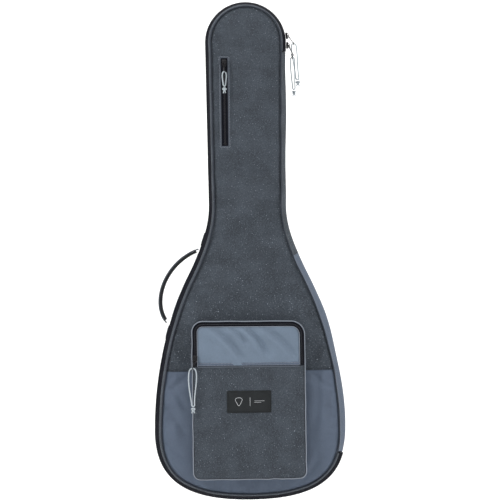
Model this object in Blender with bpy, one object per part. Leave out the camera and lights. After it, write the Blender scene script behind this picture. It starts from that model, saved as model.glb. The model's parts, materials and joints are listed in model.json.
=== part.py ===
"""A padded gig bag for an acoustic guitar, hanging by its haul loop, modelled as the pieces it is sewn from.

Metres, +Z up, the front faces -Y. Z is 0 at the bag's foot and X is 0 on its centreline. The back is flat and
upright. The front leans back a little, because the bag is deeper at its foot than at its head.
"""

import math

import bmesh
import bpy
import numpy as np
from mathutils import Matrix, Vector

# The bag's outline, seen from the front.
BAG_LENGTH = 1.094
BODY_HALF_WIDTH = 0.209
WIDEST_HEIGHT = 0.150
FLANK_HALF_WIDTH = 0.133
FLANK_HEIGHT = 0.490
FLANK_LEAN = 27.5  # degrees from upright
WAIST_HALF_WIDTH = 0.084
WAIST_HEIGHT = 0.648
HEAD_RADIUS = 0.088
FOOT_ROUND = (0.128, 0.116)  # how far the foot's curve runs along the foot and up the side
SIDE_ROUND = (0.150, 0.070)  # the same for the side, from the widest point to the flank
NECK_ROUND = (0.060, 0.050)  # and from the flank to the waist
FOOT_STEPS, SIDE_STEPS, NECK_STEPS, HEAD_STEPS = 10, 6, 6, 8

# Its depth.
DEPTH_AT_FOOT = 0.140
DEPTH_AT_HEAD = 0.105
GAP = 0.0003  # between pieces that touch

# The padded walls: cloth, foam and lining.
CLOTH = 0.0018
FOAM = 0.011
SIDE_FOAM = 0.010
LINING = 0.0012
PANEL_INSET = 0.0028  # panels sit this far inside the side walls
TWO_TONE_SEAM = 0.285  # height of the seam between the upper and the lower cloth
PIPING_RADIUS = 0.0022

# The main zipper, from the head's right side over the head, down the left side and round the foot.
BAND_DEPTH = 0.018  # strip of cloth between the front panel and the zipper
TAPE_WIDTH = 0.013
TAPE = 0.0014
COIL_WIDTH = 0.0021
COIL_HEIGHT = 0.0030
ZIPPER_TOP_END = 0.982
ZIPPER_FOOT_END = 0.102
END_GAP = 0.0025
COVER_HINGE_CLEARANCE = 0.0015

# The accessory pocket on the front.
POCKET_WIDTH = 0.248
POCKET_X = -0.003
POCKET_FOOT = 0.050
POCKET_TOP = 0.396
POCKET_DEPTH = 0.032
POCKET_TOP_CORNER = 0.027
POCKET_FOOT_CORNER = 0.016
POCKET_SEAM = 0.298
FLAP_FOLD = 0.326  # the flap folds here, above the parked slider
POCKET_CLOTH = 0.0016
POCKET_PIPING_RADIUS = 0.0016
POCKET_TAPE_WIDTH = 0.0032
CORNER_STEPS = 6

# The label on the pocket.
LABEL = (0.096, 0.048, 0.0014)
LABEL_X = -0.003
LABEL_HEIGHT = 0.220

# The small zipped pocket on the neck.
NECK_ZIP_X = -0.048
NECK_ZIP_WIDTH = 0.016
NECK_ZIP_FOOT = 0.776
NECK_ZIP_TOP = 0.970

# Zipper sliders, their pull tabs and the link below the lower main tab.
SLIDER = (0.0145, 0.0100, 0.0044)  # along the zipper, across it, high
ARCH = (0.0110, 0.0034, 0.0036)
ARCH_BAR = 0.0012
TAB_BAR = 0.0014
TAB_EYE = (0.0100, 0.0090)
TAB_LENGTH = 0.021
RING_RADIUS = 0.0026
RING_WIRE = 0.0008
CORD_DIAMETER = 0.0026
MAIN_SLIDER_ANGLE = 8.5  # degrees up the head's curve from its right side
SLIDER_SPACING = 0.0075  # how far the lower slider is below the curve's middle
KNOT_RADIUS = 0.0048

# The carry handle on the left side, and the haul loop on the back.
HANDLE_FOOT = (-0.184, 0.386)
HANDLE_BULGE = ((-0.222, 0.430), (-0.190, 0.525))
HANDLE_HEAD = (-0.110, 0.552)
HANDLE_WIDTH = 0.027
HANDLE_STRAP = 0.0028
HANDLE_GRIP = 0.0062
HANDLE_BEHIND_FRONT = 0.088
HAUL_LOOP_HALF_WIDTH = 0.024
HAUL_LOOP_FOOT = 0.985
HAUL_LOOP_RISE = 0.052
HAUL_LOOP_WEB = (0.018, 0.0030)

# The two shoulder straps on the back.
STRAP_TOP = 0.578
STRAP_FOOT = 0.262
STRAP_X = (0.036, 0.100)
STRAP_HALF_WIDTH = (0.031, 0.023)
STRAP_THICKNESS = 0.011
STRAP_BOW = 0.022
WEB_HALF_WIDTH = 0.0125
WEB_THICKNESS = 0.0018
WEB_FOOT_INSET = 0.049  # from the side of the lower body
WEB_FOOT_HEIGHT = 0.112
LOCK = (0.036, 0.024, 0.0044)

# The neck rest inside.
CRADLE_FOOT = 0.700
CRADLE_HEIGHT = 0.075
CRADLE_RISE = 0.046
CRADLE_NOTCH = 0.031
NECK_STRAP_WIDTH = 0.038

# Worked out from the sizes above.
LEAN = (DEPTH_AT_FOOT - DEPTH_AT_HEAD) / BAG_LENGTH
STRAP_REACH = STRAP_BOW + STRAP_THICKNESS + 0.003
PULL_REACH = 0.0077
BACK_Y = (DEPTH_AT_FOOT + POCKET_DEPTH + PULL_REACH - STRAP_REACH) / 2
FRONT_Y = BACK_Y - DEPTH_AT_FOOT
HEAD_CENTRE = BAG_LENGTH - HEAD_RADIUS
FRONT_TAPE_DEPTH = BAND_DEPTH + GAP
FRONT_COIL_DEPTH = FRONT_TAPE_DEPTH + TAPE_WIDTH + GAP
CHAIN_DEPTH = FRONT_COIL_DEPTH + COIL_WIDTH + GAP / 2
REAR_COIL_DEPTH = CHAIN_DEPTH + GAP / 2
REAR_TAPE_DEPTH = REAR_COIL_DEPTH + COIL_WIDTH + GAP
REAR_GUSSET_DEPTH = REAR_TAPE_DEPTH + TAPE_WIDTH + GAP
BACK_STACK = CLOTH + GAP + FOAM + GAP + LINING  # the padded back, from its outside to its lining
COIL_PROUD = COIL_HEIGHT - TAPE  # how far the coil stands out of the side wall

# A pull cord's loop, as (sideways, up) from the middle of the ring that it hangs on, in metres.
LONG_LOOP = [
    (-0.0004, 0.0), (-0.0034, -0.0011), (-0.0052, -0.0042), (-0.0057, -0.0100), (-0.0056, -0.0220),
    (-0.0049, -0.0360), (-0.0040, -0.0500), (-0.0031, -0.0610), (-0.0030, -0.0680), (0.0, -0.0708),
    (0.0030, -0.0680), (0.0031, -0.0610), (0.0034, -0.0500), (0.0042, -0.0360), (0.0051, -0.0220),
    (0.0056, -0.0100), (0.0052, -0.0042), (0.0034, -0.0011), (0.0004, 0.0),
]
POCKET_LOOP = [
    (-0.0004, 0.0), (-0.0043, -0.0014), (-0.0070, -0.0052), (-0.0086, -0.0130), (-0.0092, -0.0260),
    (-0.0080, -0.0430), (-0.0055, -0.0610), (-0.0034, -0.0740), (-0.0030, -0.0800), (0.0, -0.0830),
    (0.0030, -0.0800), (0.0031, -0.0730), (0.0040, -0.0590), (0.0060, -0.0430), (0.0078, -0.0260),
    (0.0080, -0.0130), (0.0066, -0.0052), (0.0041, -0.0014), (0.0004, 0.0),
]
SHORT_LOOP = [
    (-0.0004, 0.0), (-0.0034, -0.0011), (-0.0052, -0.0042), (-0.0058, -0.0100), (-0.0050, -0.0170),
    (-0.0038, -0.0240), (-0.0031, -0.0285), (0.0, -0.0318), (0.0031, -0.0285), (0.0039, -0.0235),
    (0.0050, -0.0160), (0.0057, -0.0100), (0.0052, -0.0042), (0.0034, -0.0011), (0.0004, 0.0),
]

FINISHES = {
    "heather": ((0.075, 0.083, 0.100), 0.95, 0.0),
    "slate": ((0.150, 0.185, 0.235), 0.62, 0.0),
    "lining": ((0.030, 0.032, 0.036), 0.98, 0.0),
    "foam": ((0.055, 0.055, 0.060), 1.0, 0.0),
    "piping": ((0.330, 0.360, 0.410), 0.6, 0.0),
    "zipper": ((0.012, 0.013, 0.017), 0.7, 0.0),
    "metal": ((0.020, 0.020, 0.022), 0.35, 0.8),
    "cord": ((0.800, 0.820, 0.840), 0.8, 0.0),
    "webbing": ((0.025, 0.026, 0.030), 0.8, 0.0),
    "rubber": ((0.030, 0.032, 0.033), 0.6, 0.0),
    "plastic": ((0.020, 0.020, 0.022), 0.45, 0.0),
}


def clear_scene():
    for obj in list(bpy.data.objects):
        bpy.data.objects.remove(obj)


def material(finish):
    """The Principled material of a finish, made once."""
    if finish in bpy.data.materials:
        return bpy.data.materials[finish]
    colour, roughness, metallic = FINISHES[finish]
    made = bpy.data.materials.new(finish)
    made.use_nodes = True
    shader = made.node_tree.nodes["Principled BSDF"]
    shader.inputs["Base Color"].default_value = (*colour, 1.0)
    shader.inputs["Roughness"].default_value = roughness
    shader.inputs["Metallic"].default_value = metallic
    return made


def axis_empty(name, place):
    """An empty on a joint's axis, which the pieces that move there are parented to."""
    empty = bpy.data.objects.new(name, None)
    empty.location = place
    bpy.context.collection.objects.link(empty)
    return empty


def add(name, data, finish, parent=None, matrix=None):
    """Links an object with its finish, keeping its place when it is parented."""
    obj = bpy.data.objects.new(name, data)
    bpy.context.collection.objects.link(obj)
    obj.matrix_world = matrix or Matrix.Identity(4)
    if not data.materials:
        data.materials.append(material(finish))
    if parent:
        bpy.context.view_layer.update()
        obj.parent = parent
        obj.matrix_parent_inverse = parent.matrix_world.inverted()
    return obj


def mesh_of(name, verts, faces):
    """A mesh with its faces pointing out."""
    bm = bmesh.new()
    made = [bm.verts.new(v) for v in verts]
    for face in faces:
        bm.faces.new([made[i] for i in face])
    bmesh.ops.recalc_face_normals(bm, faces=bm.faces)
    data = bpy.data.meshes.new(name)
    bm.to_mesh(data)
    bm.free()
    return data


def rounded(obj, width, segments=1):
    """Takes the sharp edges off a boxy piece."""
    bevel = obj.modifiers.new("soften", "BEVEL")
    bevel.width = width
    bevel.segments = segments
    bevel.limit_method = "ANGLE"
    return obj


def helper(name, data, matrix=None):
    """A shape that a Boolean uses, and that isn't a piece itself."""
    obj = bpy.data.objects.new(name, data)
    bpy.context.collection.objects.link(obj)
    obj.matrix_world = matrix or Matrix.Identity(4)
    obj.hide_render = True
    obj.display_type = "WIRE"
    return obj


def boolean(obj, other, operation):
    step = obj.modifiers.new(operation.lower() + "_" + other.name, "BOOLEAN")
    step.object = other
    step.operation = operation
    return obj


# Outlines in the XZ plane.


def bezier(a, b, c, d, steps):
    """Points of a cubic curve from a to d, without its last point."""
    t = np.linspace(0, 1, steps, endpoint=False)[:, None]
    a, b, c, d = (np.array(p, float) for p in (a, b, c, d))
    return (1 - t) ** 3 * a + 3 * t * (1 - t) ** 2 * b + 3 * t * t * (1 - t) * c + t**3 * d


def arc(centre, radius, start, end, steps):
    """Points of an arc in degrees, without its last point."""
    a = np.radians(np.linspace(start, end, steps, endpoint=False))
    return np.array(centre) + radius * np.stack([np.cos(a), np.sin(a)], axis=1)


class Outline:
    """A closed outline walked from its lowest middle point up the right side, measured along its length."""

    def __init__(self, points):
        self.points = np.array(points, float)
        steps = np.roll(self.points, -1, axis=0) - self.points
        self.along = np.concatenate([[0], np.cumsum(np.linalg.norm(steps, axis=1))])
        self.length = self.along[-1]
        ahead = steps / np.linalg.norm(steps, axis=1)[:, None]
        right = np.stack([ahead[:, 1], -ahead[:, 0]], axis=1)
        both = right + np.roll(right, 1, axis=0)
        both /= np.linalg.norm(both, axis=1)[:, None]
        self.outward = both / (both * right).sum(1)[:, None]

    def inset(self, inwards):
        """The outline's own points, moved inwards square to its edges."""
        return self.points - inwards * self.outward

    def stations(self, start, end):
        """Distances from start to end: both of them, and each corner in between."""
        if end <= start:
            end += self.length
        corners = np.concatenate([self.along[:-1], self.along[:-1] + self.length])
        between = corners[(corners > start + 1e-6) & (corners < end - 1e-6)]
        return np.concatenate([[start], between, [end]])

    def at(self, distances, inwards=0.0):
        """The points at those distances along the outline."""
        ring = self.inset(inwards)
        ring = np.vstack([ring, ring, ring[:1]])
        known = np.concatenate([self.along[:-1], self.along + self.length])
        return np.stack([np.interp(distances, known, ring[:, i]) for i in (0, 1)], axis=1)

    def at_height(self, z, side):
        """How far along the outline the side, +1 right or -1 left, is at a height."""
        half = len(self.points) // 2
        heights, along = self.points[: half + 1, 1], self.along[: half + 1]
        right = float(np.interp(z, heights, along))
        return right if side > 0 else self.length - right


def bag_outline():
    lean = Vector((-math.sin(math.radians(FLANK_LEAN)), math.cos(math.radians(FLANK_LEAN))))
    widest = (BODY_HALF_WIDTH, WIDEST_HEIGHT)
    flank = Vector((FLANK_HALF_WIDTH, FLANK_HEIGHT))
    waist = (WAIST_HALF_WIDTH, WAIST_HEIGHT)
    right = [
        bezier((0, 0), (FOOT_ROUND[0], 0), (widest[0], widest[1] - FOOT_ROUND[1]), widest, FOOT_STEPS),
        bezier(widest, (widest[0], widest[1] + SIDE_ROUND[0]), flank - SIDE_ROUND[1] * lean, flank,
            SIDE_STEPS),
        bezier(flank, flank + NECK_ROUND[0] * lean, (waist[0], waist[1] - NECK_ROUND[1]), waist, NECK_STEPS),
        np.array([waist]),
        arc((0, HEAD_CENTRE), HEAD_RADIUS, 0, 90, HEAD_STEPS),
    ]
    right = np.vstack(right)
    top = np.array([[0.0, BAG_LENGTH]])
    left = right[1:][::-1] * [-1, 1]
    return Outline(np.vstack([right, top, left]))


def pocket_outline():
    half, low, high = POCKET_WIDTH / 2, POCKET_FOOT, POCKET_TOP
    foot, top = POCKET_FOOT_CORNER, POCKET_TOP_CORNER
    right = np.vstack([
        [[0.0, low]],
        arc((half - foot, low + foot), foot, -90, 0, CORNER_STEPS),
        [[half, low + foot]],
        arc((half - top, high - top), top, 0, 90, CORNER_STEPS),
        [[half - top, high]],
    ])
    left = right[1:][::-1] * [-1, 1]
    return Outline(np.vstack([right, [[0.0, high]], left]) + [POCKET_X, 0])


def between_heights(points, low, high):
    """The part of a closed outline between two heights."""
    for limit, sign in ((low, 1), (high, -1)):
        kept = []
        for a, b in zip(points, np.roll(points, -1, axis=0)):
            ahead, behind = sign * (a[1] - limit), sign * (b[1] - limit)
            if ahead >= 0:
                kept.append(a)
            if ahead * behind < 0:
                kept.append(a + (b - a) * ahead / (ahead - behind))
        points = np.array(kept)
    return points


# Depths. The front's depths follow its lean, and the back's don't.


def behind_front(depth):
    return lambda z: FRONT_Y + LEAN * z + depth


def before_back(depth):
    return lambda z: BACK_Y - depth


def plate(name, points, near, far, finish, parent=None):
    """A sheet with that outline, between two depths."""
    n = len(points)
    verts = [(x, face(z), z) for face in (near, far) for x, z in points]
    sides = [(i, (i + 1) % n, (i + 1) % n + n, i + n) for i in range(n)]
    faces = [tuple(range(n)), tuple(range(n, 2 * n)), *sides]
    return add(name, mesh_of(name, verts, faces), finish, parent)


def wall(name, outline, start, end, outer, inner, near, far, finish, parent=None):
    """A strip that stands on the outline between two distances along it, from inset outer to inset inner."""
    closed = start is None
    distances = outline.along[:-1] if closed else outline.stations(start, end)
    out, ins = outline.at(distances, outer), outline.at(distances, inner)
    verts, faces = [], []
    for (ox, oz), (ix, iz) in zip(out, ins):
        verts += [(ox, near(oz), oz), (ix, near(iz), iz), (ix, far(iz), iz), (ox, far(oz), oz)]
    count = len(distances)
    for i in range(count if closed else count - 1):
        a, b = 4 * i, 4 * ((i + 1) % count)
        faces += [(a + k, a + (k + 1) % 4, b + (k + 1) % 4, b + k) for k in range(4)]
    if not closed:
        faces += [(0, 1, 2, 3), tuple(4 * count - 4 + k for k in range(4))]
    return add(name, mesh_of(name, verts, faces), finish, parent)


def ring_tube(name, outline, inwards, depth, radius, finish, parent=None, sides=6):
    """A round cord sewn along the whole outline."""
    points = outline.inset(inwards)
    ahead = np.roll(points, -1, axis=0) - np.roll(points, 1, axis=0)
    ahead /= np.linalg.norm(ahead, axis=1)[:, None]
    verts, faces = [], []
    for (x, z), (ax, az) in zip(points, ahead):
        for k in range(sides):
            turn = 2 * math.pi * (k + 0.5) / sides
            out, back = radius * math.cos(turn), radius * math.sin(turn)
            verts.append((x + out * az, depth(z) + back, z - out * ax))
    count = len(points)
    for i in range(count):
        a, b = sides * i, sides * ((i + 1) % count)
        faces += [(a + k, a + (k + 1) % sides, b + (k + 1) % sides, b + k) for k in range(sides)]
    return add(name, mesh_of(name, verts, faces), finish, parent)


def sweep(name, centres, across, up, finish, parent=None):
    """A flat band along centres: across and up are half its width and half its thickness, as vectors."""
    verts, faces = [], []
    for c, a, u in zip(centres, across, up):
        verts += [c - a - u, c + a - u, c + a + u, c - a + u]
    for i in range(len(centres) - 1):
        a, b = 4 * i, 4 * (i + 1)
        faces += [(a + k, a + (k + 1) % 4, b + (k + 1) % 4, b + k) for k in range(4)]
    faces += [(0, 1, 2, 3), tuple(len(verts) - 4 + k for k in range(4))]
    return add(name, mesh_of(name, verts, faces), finish, parent)


def box_mesh(name, low, high):
    corners = [(x, y, z) for x in (low[0], high[0]) for y in (low[1], high[1]) for z in (low[2], high[2])]
    faces = [(0, 1, 3, 2), (4, 5, 7, 6), (0, 1, 5, 4), (2, 3, 7, 6), (0, 2, 6, 4), (1, 3, 7, 5)]
    return mesh_of(name, corners, faces)


def torus_mesh(name, radius, wire, axis, steps=12, sides=6):
    """A small ring about an axis through the origin."""
    turn = Vector((0, 0, 1)).rotation_difference(Vector(axis)).to_matrix()
    verts, faces = [], []
    for i in range(steps):
        a = 2 * math.pi * i / steps
        for k in range(sides):
            b = 2 * math.pi * k / sides
            reach = radius + wire * math.cos(b)
            verts.append(turn @ Vector((reach * math.cos(a), reach * math.sin(a), wire * math.sin(b))))
            faces.append([((i + di) % steps) * sides + (k + dk) % sides for di,
                dk in ((0, 0), (0, 1), (1, 1), (1, 0))])
    return mesh_of(name, verts, faces)


# Zipper sliders and their pulls. A slider's own X runs along the zipper, Y across it and Z out of it.


def frame_at(place, along, out):
    """The matrix of a slider at a place, that runs along one direction and stands out in another."""
    along, out = Vector(along).normalized(), Vector(out).normalized()
    across = out.cross(along)
    turn = Matrix((along, across, out)).transposed().to_4x4()
    return Matrix.Translation(place) @ turn


def slider(name, matrix, parent=None):
    """The body that rides on the coil, with the arch that holds the pull tab."""
    long, wide, high = SLIDER
    body = add(name, box_mesh(name, (-long / 2, -wide / 2, GAP), (long / 2, wide / 2, GAP + high)), "metal",
        parent, matrix)
    rounded(body, 0.0012)
    arch_long, arch_wide, arch_high = ARCH
    low = GAP + high
    outside = [(-arch_long / 2, low - 0.001), (-arch_long / 2, low + arch_high * 0.6),
        (-arch_long / 4, low + arch_high)]
    inside = [(-arch_long / 2 + ARCH_BAR, low - 0.001),
        (-arch_long / 2 + ARCH_BAR, low + arch_high * 0.6 - 0.0005),
              (-arch_long / 4 + 0.0004, low + arch_high - ARCH_BAR)]
    outside += [(-x, z) for x, z in outside[::-1]]
    inside += [(-x, z) for x, z in inside[::-1]]
    centres = [Vector(((o[0] + i[0]) / 2, 0, (o[1] + i[1]) / 2)) for o, i in zip(outside, inside)]
    halves = [Vector(((o[0] - i[0]) / 2, 0, (o[1] - i[1]) / 2)) for o, i in zip(outside, inside)]
    arch = sweep(name + "_arch", centres, [Vector((0, arch_wide / 2, 0))] * len(centres), halves, "metal")
    arch.hide_render = True
    arch.display_type = "WIRE"
    arch.matrix_world = matrix
    boolean(body, arch, "UNION")
    return body


def level(turn):
    """The level direction turned that many degrees from the X axis."""
    return Vector((math.cos(math.radians(turn)), math.sin(math.radians(turn)), 0))


def pivot_height():
    return GAP + SLIDER[2] + (ARCH[2] - ARCH_BAR) / 2


def pull_tab(name, matrix, lean, skew, turn, parent):
    """The tab: an eye round the arch, a stem, and a ring. Lean lifts it off the zipper, skew turns it sideways.

    Its ring faces along a level direction, turned from the X axis.

    Returns the tab and the place of its ring's middle."""
    pivot = matrix @ Matrix.Translation((0, 0, pivot_height()))
    pose = pivot @ Matrix.Rotation(math.radians(skew), 4, "Z") @ Matrix.Rotation(math.radians(lean), 4, "Y")
    wide, long = TAB_EYE
    half = TAB_BAR / 2
    outer = [(half, -wide / 2), (half, wide / 2), (-long, wide / 2), (-long, -wide / 2)]
    inner = [(-half, -wide / 2 + TAB_BAR), (-half, wide / 2 - TAB_BAR),
             (-long + TAB_BAR, wide / 2 - TAB_BAR), (-long + TAB_BAR, -wide / 2 + TAB_BAR)]
    verts = [(x, y, z) for z in (-half, half) for loop in (outer, inner) for x, y in loop]
    faces = []
    for i in range(4):
        j = (i + 1) % 4
        faces += [(i, j, j + 4, i + 4), (i + 8, j + 8, j + 12, i + 12), (i, j, j + 8, i + 8),
            (i + 4, j + 4, j + 12, i + 12)]
    tab = add(name, mesh_of(name, verts, faces), "metal", parent, pose)
    stem_end = -TAB_LENGTH + 0.75 * RING_RADIUS
    stem = box_mesh(name + "_stem", (stem_end, -0.0019, -half * 0.9), (-long + half, 0.0019, half * 0.9))
    boolean(tab, helper(name + "_stem", stem, pose), "UNION")
    middle = pose @ Vector((-TAB_LENGTH, 0, 0))
    ring = torus_mesh(name + "_ring", RING_RADIUS, RING_WIRE, level(turn))
    boolean(tab, helper(name + "_ring", ring, Matrix.Translation(middle)), "UNION")
    return middle


def swivel(name, place, through, turn, parent):
    """Two small crossed rings: the upper one runs through the tab's ring, the lower one takes the cord.

    Returns the place of the lower ring's middle."""
    upper = Matrix.Translation(place + Vector((0, 0, -RING_RADIUS)))
    link = add(name, torus_mesh(name, RING_RADIUS, RING_WIRE, level(through)), "metal", parent, upper)
    drop = 2 * RING_RADIUS
    lower = Matrix.Translation(upper.translation + Vector((0, 0, -drop)))
    ring = torus_mesh(name + "_ring", RING_RADIUS, RING_WIRE, level(turn))
    boolean(link, helper(name + "_ring", ring, lower), "UNION")
    return lower.translation


def smooth_route(points, step):
    """Points a step apart along a smooth curve through the given points."""
    p = np.array(points, float)
    ends = np.vstack([2 * p[0] - p[1], p, 2 * p[-1] - p[-2]])
    fine = []
    for a, b, c, d in zip(ends[:-3], ends[1:-2], ends[2:-1], ends[3:]):
        t = np.linspace(0, 1, 12, endpoint=False)[:, None]
        fine.append(0.5 * (2 * b + (c - a) * t + (2 * a - 5 * b + 4 * c - d) * t**2 + (3 * b - a - 3 * c + d) * t**3))
    fine = np.vstack([*fine, p[-1:]])
    along = np.concatenate([[0], np.cumsum(np.linalg.norm(np.diff(fine, axis=0), axis=1))])
    at = np.linspace(0, along[-1], round(along[-1] / step) + 1)
    return np.stack([np.interp(at, along, fine[:, i]) for i in range(fine.shape[1])], axis=1)


def pull_cord(name, ring, loop, turn, parent, longer=1.0, drift=0.0):
    """A loop of cord that hangs on a ring, in an upright plane turned from the X axis, with its knot.

    Drift is how far it hangs to the side for each metre down, because the cord is a little stiff."""
    loop = [(side - up * longer * drift, up * longer) for side, up in loop]
    sideways = level(turn)
    route = smooth_route(loop, 1.3 * CORD_DIAMETER)
    curve = bpy.data.curves.new(name + "_cord", "CURVE")
    curve.dimensions = "3D"
    curve.bevel_depth = CORD_DIAMETER / 2
    curve.bevel_resolution = 2
    curve.use_fill_caps = True
    spline = curve.splines.new("POLY")
    spline.points.add(len(route) - 1)
    hang = RING_RADIUS - RING_WIRE - CORD_DIAMETER / 2 - GAP  # the cord rests near the ring's foot
    for point, (side, up) in zip(spline.points, route):
        point.co = (*(sideways * float(side) + Vector((0, 0, up - hang))), 1)
    add(name + "_cord", curve, "cord", parent, Matrix.Translation(ring))
    low = min(up for _, up in loop) - hang - CORD_DIAMETER / 2 - GAP - KNOT_RADIUS
    bm = bmesh.new()
    bmesh.ops.create_icosphere(bm, subdivisions=2, radius=KNOT_RADIUS)
    bmesh.ops.scale(bm, vec=(0.9, 0.8, 1.0), verts=bm.verts)
    bmesh.ops.translate(bm, vec=Vector((0, 0, low)) - sideways * low * drift, verts=bm.verts)
    knot = bpy.data.meshes.new(name + "_knot")
    bm.to_mesh(knot)
    bm.free()
    add(name + "_knot", knot, "cord", parent, Matrix.Translation(ring))


# The bag's own pieces.


def hinge_line(outline):
    """Two points of the cover's hinge: the straight line that just clears the right side of the bag."""
    head = Vector(outline.at([outline.at_height(ZIPPER_TOP_END, 1)])[0])
    half = len(outline.points) // 2
    below = [Vector(p) for p in outline.points[:half] if p[1] < WAIST_HEIGHT]
    touching = max(below, key=lambda p: (p.x - head.x) / (head.y - p.y))
    along = (touching - head).normalized()
    out = Vector((-along.y, along.x)) * COVER_HINGE_CLEARANCE
    return head + out, touching + out


def base_shell(outline):
    """The padded back and the side walls, which stay still."""
    inset = outline.inset(PANEL_INSET)
    cloth = (before_back(CLOTH), before_back(0))
    plate("back_panel_lower", between_heights(inset, -1, TWO_TONE_SEAM - GAP / 2), *cloth, "slate")
    plate("back_panel_upper", between_heights(inset, TWO_TONE_SEAM + GAP / 2, 2), *cloth, "heather")
    foam_far = CLOTH + GAP
    plate("back_foam", inset, before_back(foam_far + FOAM), before_back(foam_far), "foam")
    lining_far = foam_far + FOAM + GAP
    plate("back_lining", inset, before_back(lining_far + LINING), before_back(lining_far), "lining")

    top, foot = outline.at_height(ZIPPER_TOP_END, 1), outline.at_height(ZIPPER_FOOT_END, 1)
    wall("zipper_side_gusset", outline, top + END_GAP, foot - END_GAP, 0, CLOTH,
         behind_front(REAR_GUSSET_DEPTH), before_back(0), "slate")
    wall("hinge_side_gusset", outline, foot, top, 0, CLOTH, behind_front(0), before_back(0), "slate")
    foam_in = CLOTH + GAP + SIDE_FOAM
    inner_depth = before_back(BACK_STACK + GAP)
    wall("side_foam", outline, None, None, CLOTH + GAP, foam_in, behind_front(REAR_TAPE_DEPTH), inner_depth,
        "foam")
    wall("side_lining", outline, None, None, foam_in + GAP, foam_in + GAP + LINING,
         behind_front(REAR_TAPE_DEPTH), inner_depth, "lining")
    ring_tube("back_piping", outline, PIPING_RADIUS, before_back(-PIPING_RADIUS - GAP), PIPING_RADIUS,
        "slate")

    wall("main_zipper_tape_rear", outline, top + END_GAP, foot - END_GAP, 0, TAPE,
         behind_front(REAR_TAPE_DEPTH), behind_front(REAR_TAPE_DEPTH + TAPE_WIDTH), "zipper")
    wall("main_zipper_coil_rear", outline, top + END_GAP, foot - END_GAP, -COIL_PROUD, TAPE,
         behind_front(REAR_COIL_DEPTH), behind_front(REAR_COIL_DEPTH + COIL_WIDTH), "zipper")


def cover(outline, hinge):
    """The padded front, which opens about the hinge."""
    inset = outline.inset(PANEL_INSET)
    cloth = (behind_front(0), behind_front(CLOTH))
    plate("front_panel_lower", between_heights(inset, -1, TWO_TONE_SEAM - GAP / 2), *cloth, "slate", hinge)
    upper = plate("front_panel_upper", between_heights(inset, TWO_TONE_SEAM + GAP / 2, 2), *cloth,
        "heather", hinge)
    low_y, high_y = FRONT_Y - 0.01, FRONT_Y + LEAN * BAG_LENGTH + 0.01
    slot = box_mesh("neck_slot", (NECK_ZIP_X - NECK_ZIP_WIDTH / 2, low_y, NECK_ZIP_FOOT),
                    (NECK_ZIP_X + NECK_ZIP_WIDTH / 2, high_y, NECK_ZIP_TOP))
    boolean(upper, helper("neck_slot", slot), "DIFFERENCE")
    foam_near = CLOTH + GAP
    plate("front_foam", inset, behind_front(foam_near), behind_front(foam_near + FOAM), "foam", hinge)
    lining_near = foam_near + FOAM + GAP
    plate("front_lining", inset, behind_front(lining_near), behind_front(lining_near + LINING), "lining",
        hinge)

    top, foot = outline.at_height(ZIPPER_TOP_END, 1), outline.at_height(ZIPPER_FOOT_END, 1)
    start, end = top + END_GAP, foot - END_GAP
    wall("front_side_band", outline, start, end, 0, CLOTH, behind_front(0), behind_front(BAND_DEPTH),
        "heather", hinge)
    ring_tube("front_piping", outline, PIPING_RADIUS, behind_front(-PIPING_RADIUS - GAP), PIPING_RADIUS,
        "heather", hinge)
    wall("main_zipper_tape_front", outline, start, end, 0, TAPE,
         behind_front(FRONT_TAPE_DEPTH), behind_front(FRONT_TAPE_DEPTH + TAPE_WIDTH), "zipper", hinge)
    wall("main_zipper_coil_front", outline, start, end, -COIL_PROUD, TAPE,
         behind_front(FRONT_COIL_DEPTH), behind_front(FRONT_COIL_DEPTH + COIL_WIDTH), "zipper", hinge)


def neck_pocket(hinge):
    """The zipper let into the front of the neck, its slider at the top, and its pull."""
    half = NECK_ZIP_WIDTH / 2 - GAP
    points = np.array([(NECK_ZIP_X - half, NECK_ZIP_FOOT + GAP), (NECK_ZIP_X + half, NECK_ZIP_FOOT + GAP),
                       (NECK_ZIP_X + half, NECK_ZIP_TOP - GAP), (NECK_ZIP_X - half, NECK_ZIP_TOP - GAP)])
    zipper = plate("neck_zipper", points, behind_front(CLOTH - TAPE), behind_front(CLOTH), "zipper", hinge)
    coil, margin = COIL_WIDTH, 0.004
    chain = np.array([(NECK_ZIP_X - coil, NECK_ZIP_FOOT + margin),
        (NECK_ZIP_X + coil, NECK_ZIP_FOOT + margin),
                      (NECK_ZIP_X + coil, NECK_ZIP_TOP - margin), (NECK_ZIP_X - coil, NECK_ZIP_TOP - margin)])
    chain_top = CLOTH - TAPE - COIL_PROUD
    coils = plate("neck_zipper_coil", chain, behind_front(chain_top), behind_front(CLOTH - TAPE / 2),
        "zipper", hinge)
    coils.hide_render = True
    coils.display_type = "WIRE"
    boolean(zipper, coils, "UNION")
    z = NECK_ZIP_TOP - margin - SLIDER[0] / 2
    place = Vector((NECK_ZIP_X, behind_front(chain_top)(z), z))
    matrix = frame_at(place, (0, LEAN, 1), (0, -1, LEAN))
    slider("neck_slider", matrix, hinge)
    ring = pull_tab("neck_tab", matrix, 16, 0, 40, hinge)
    pull_cord("neck", ring, SHORT_LOOP, 40, hinge)


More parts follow.
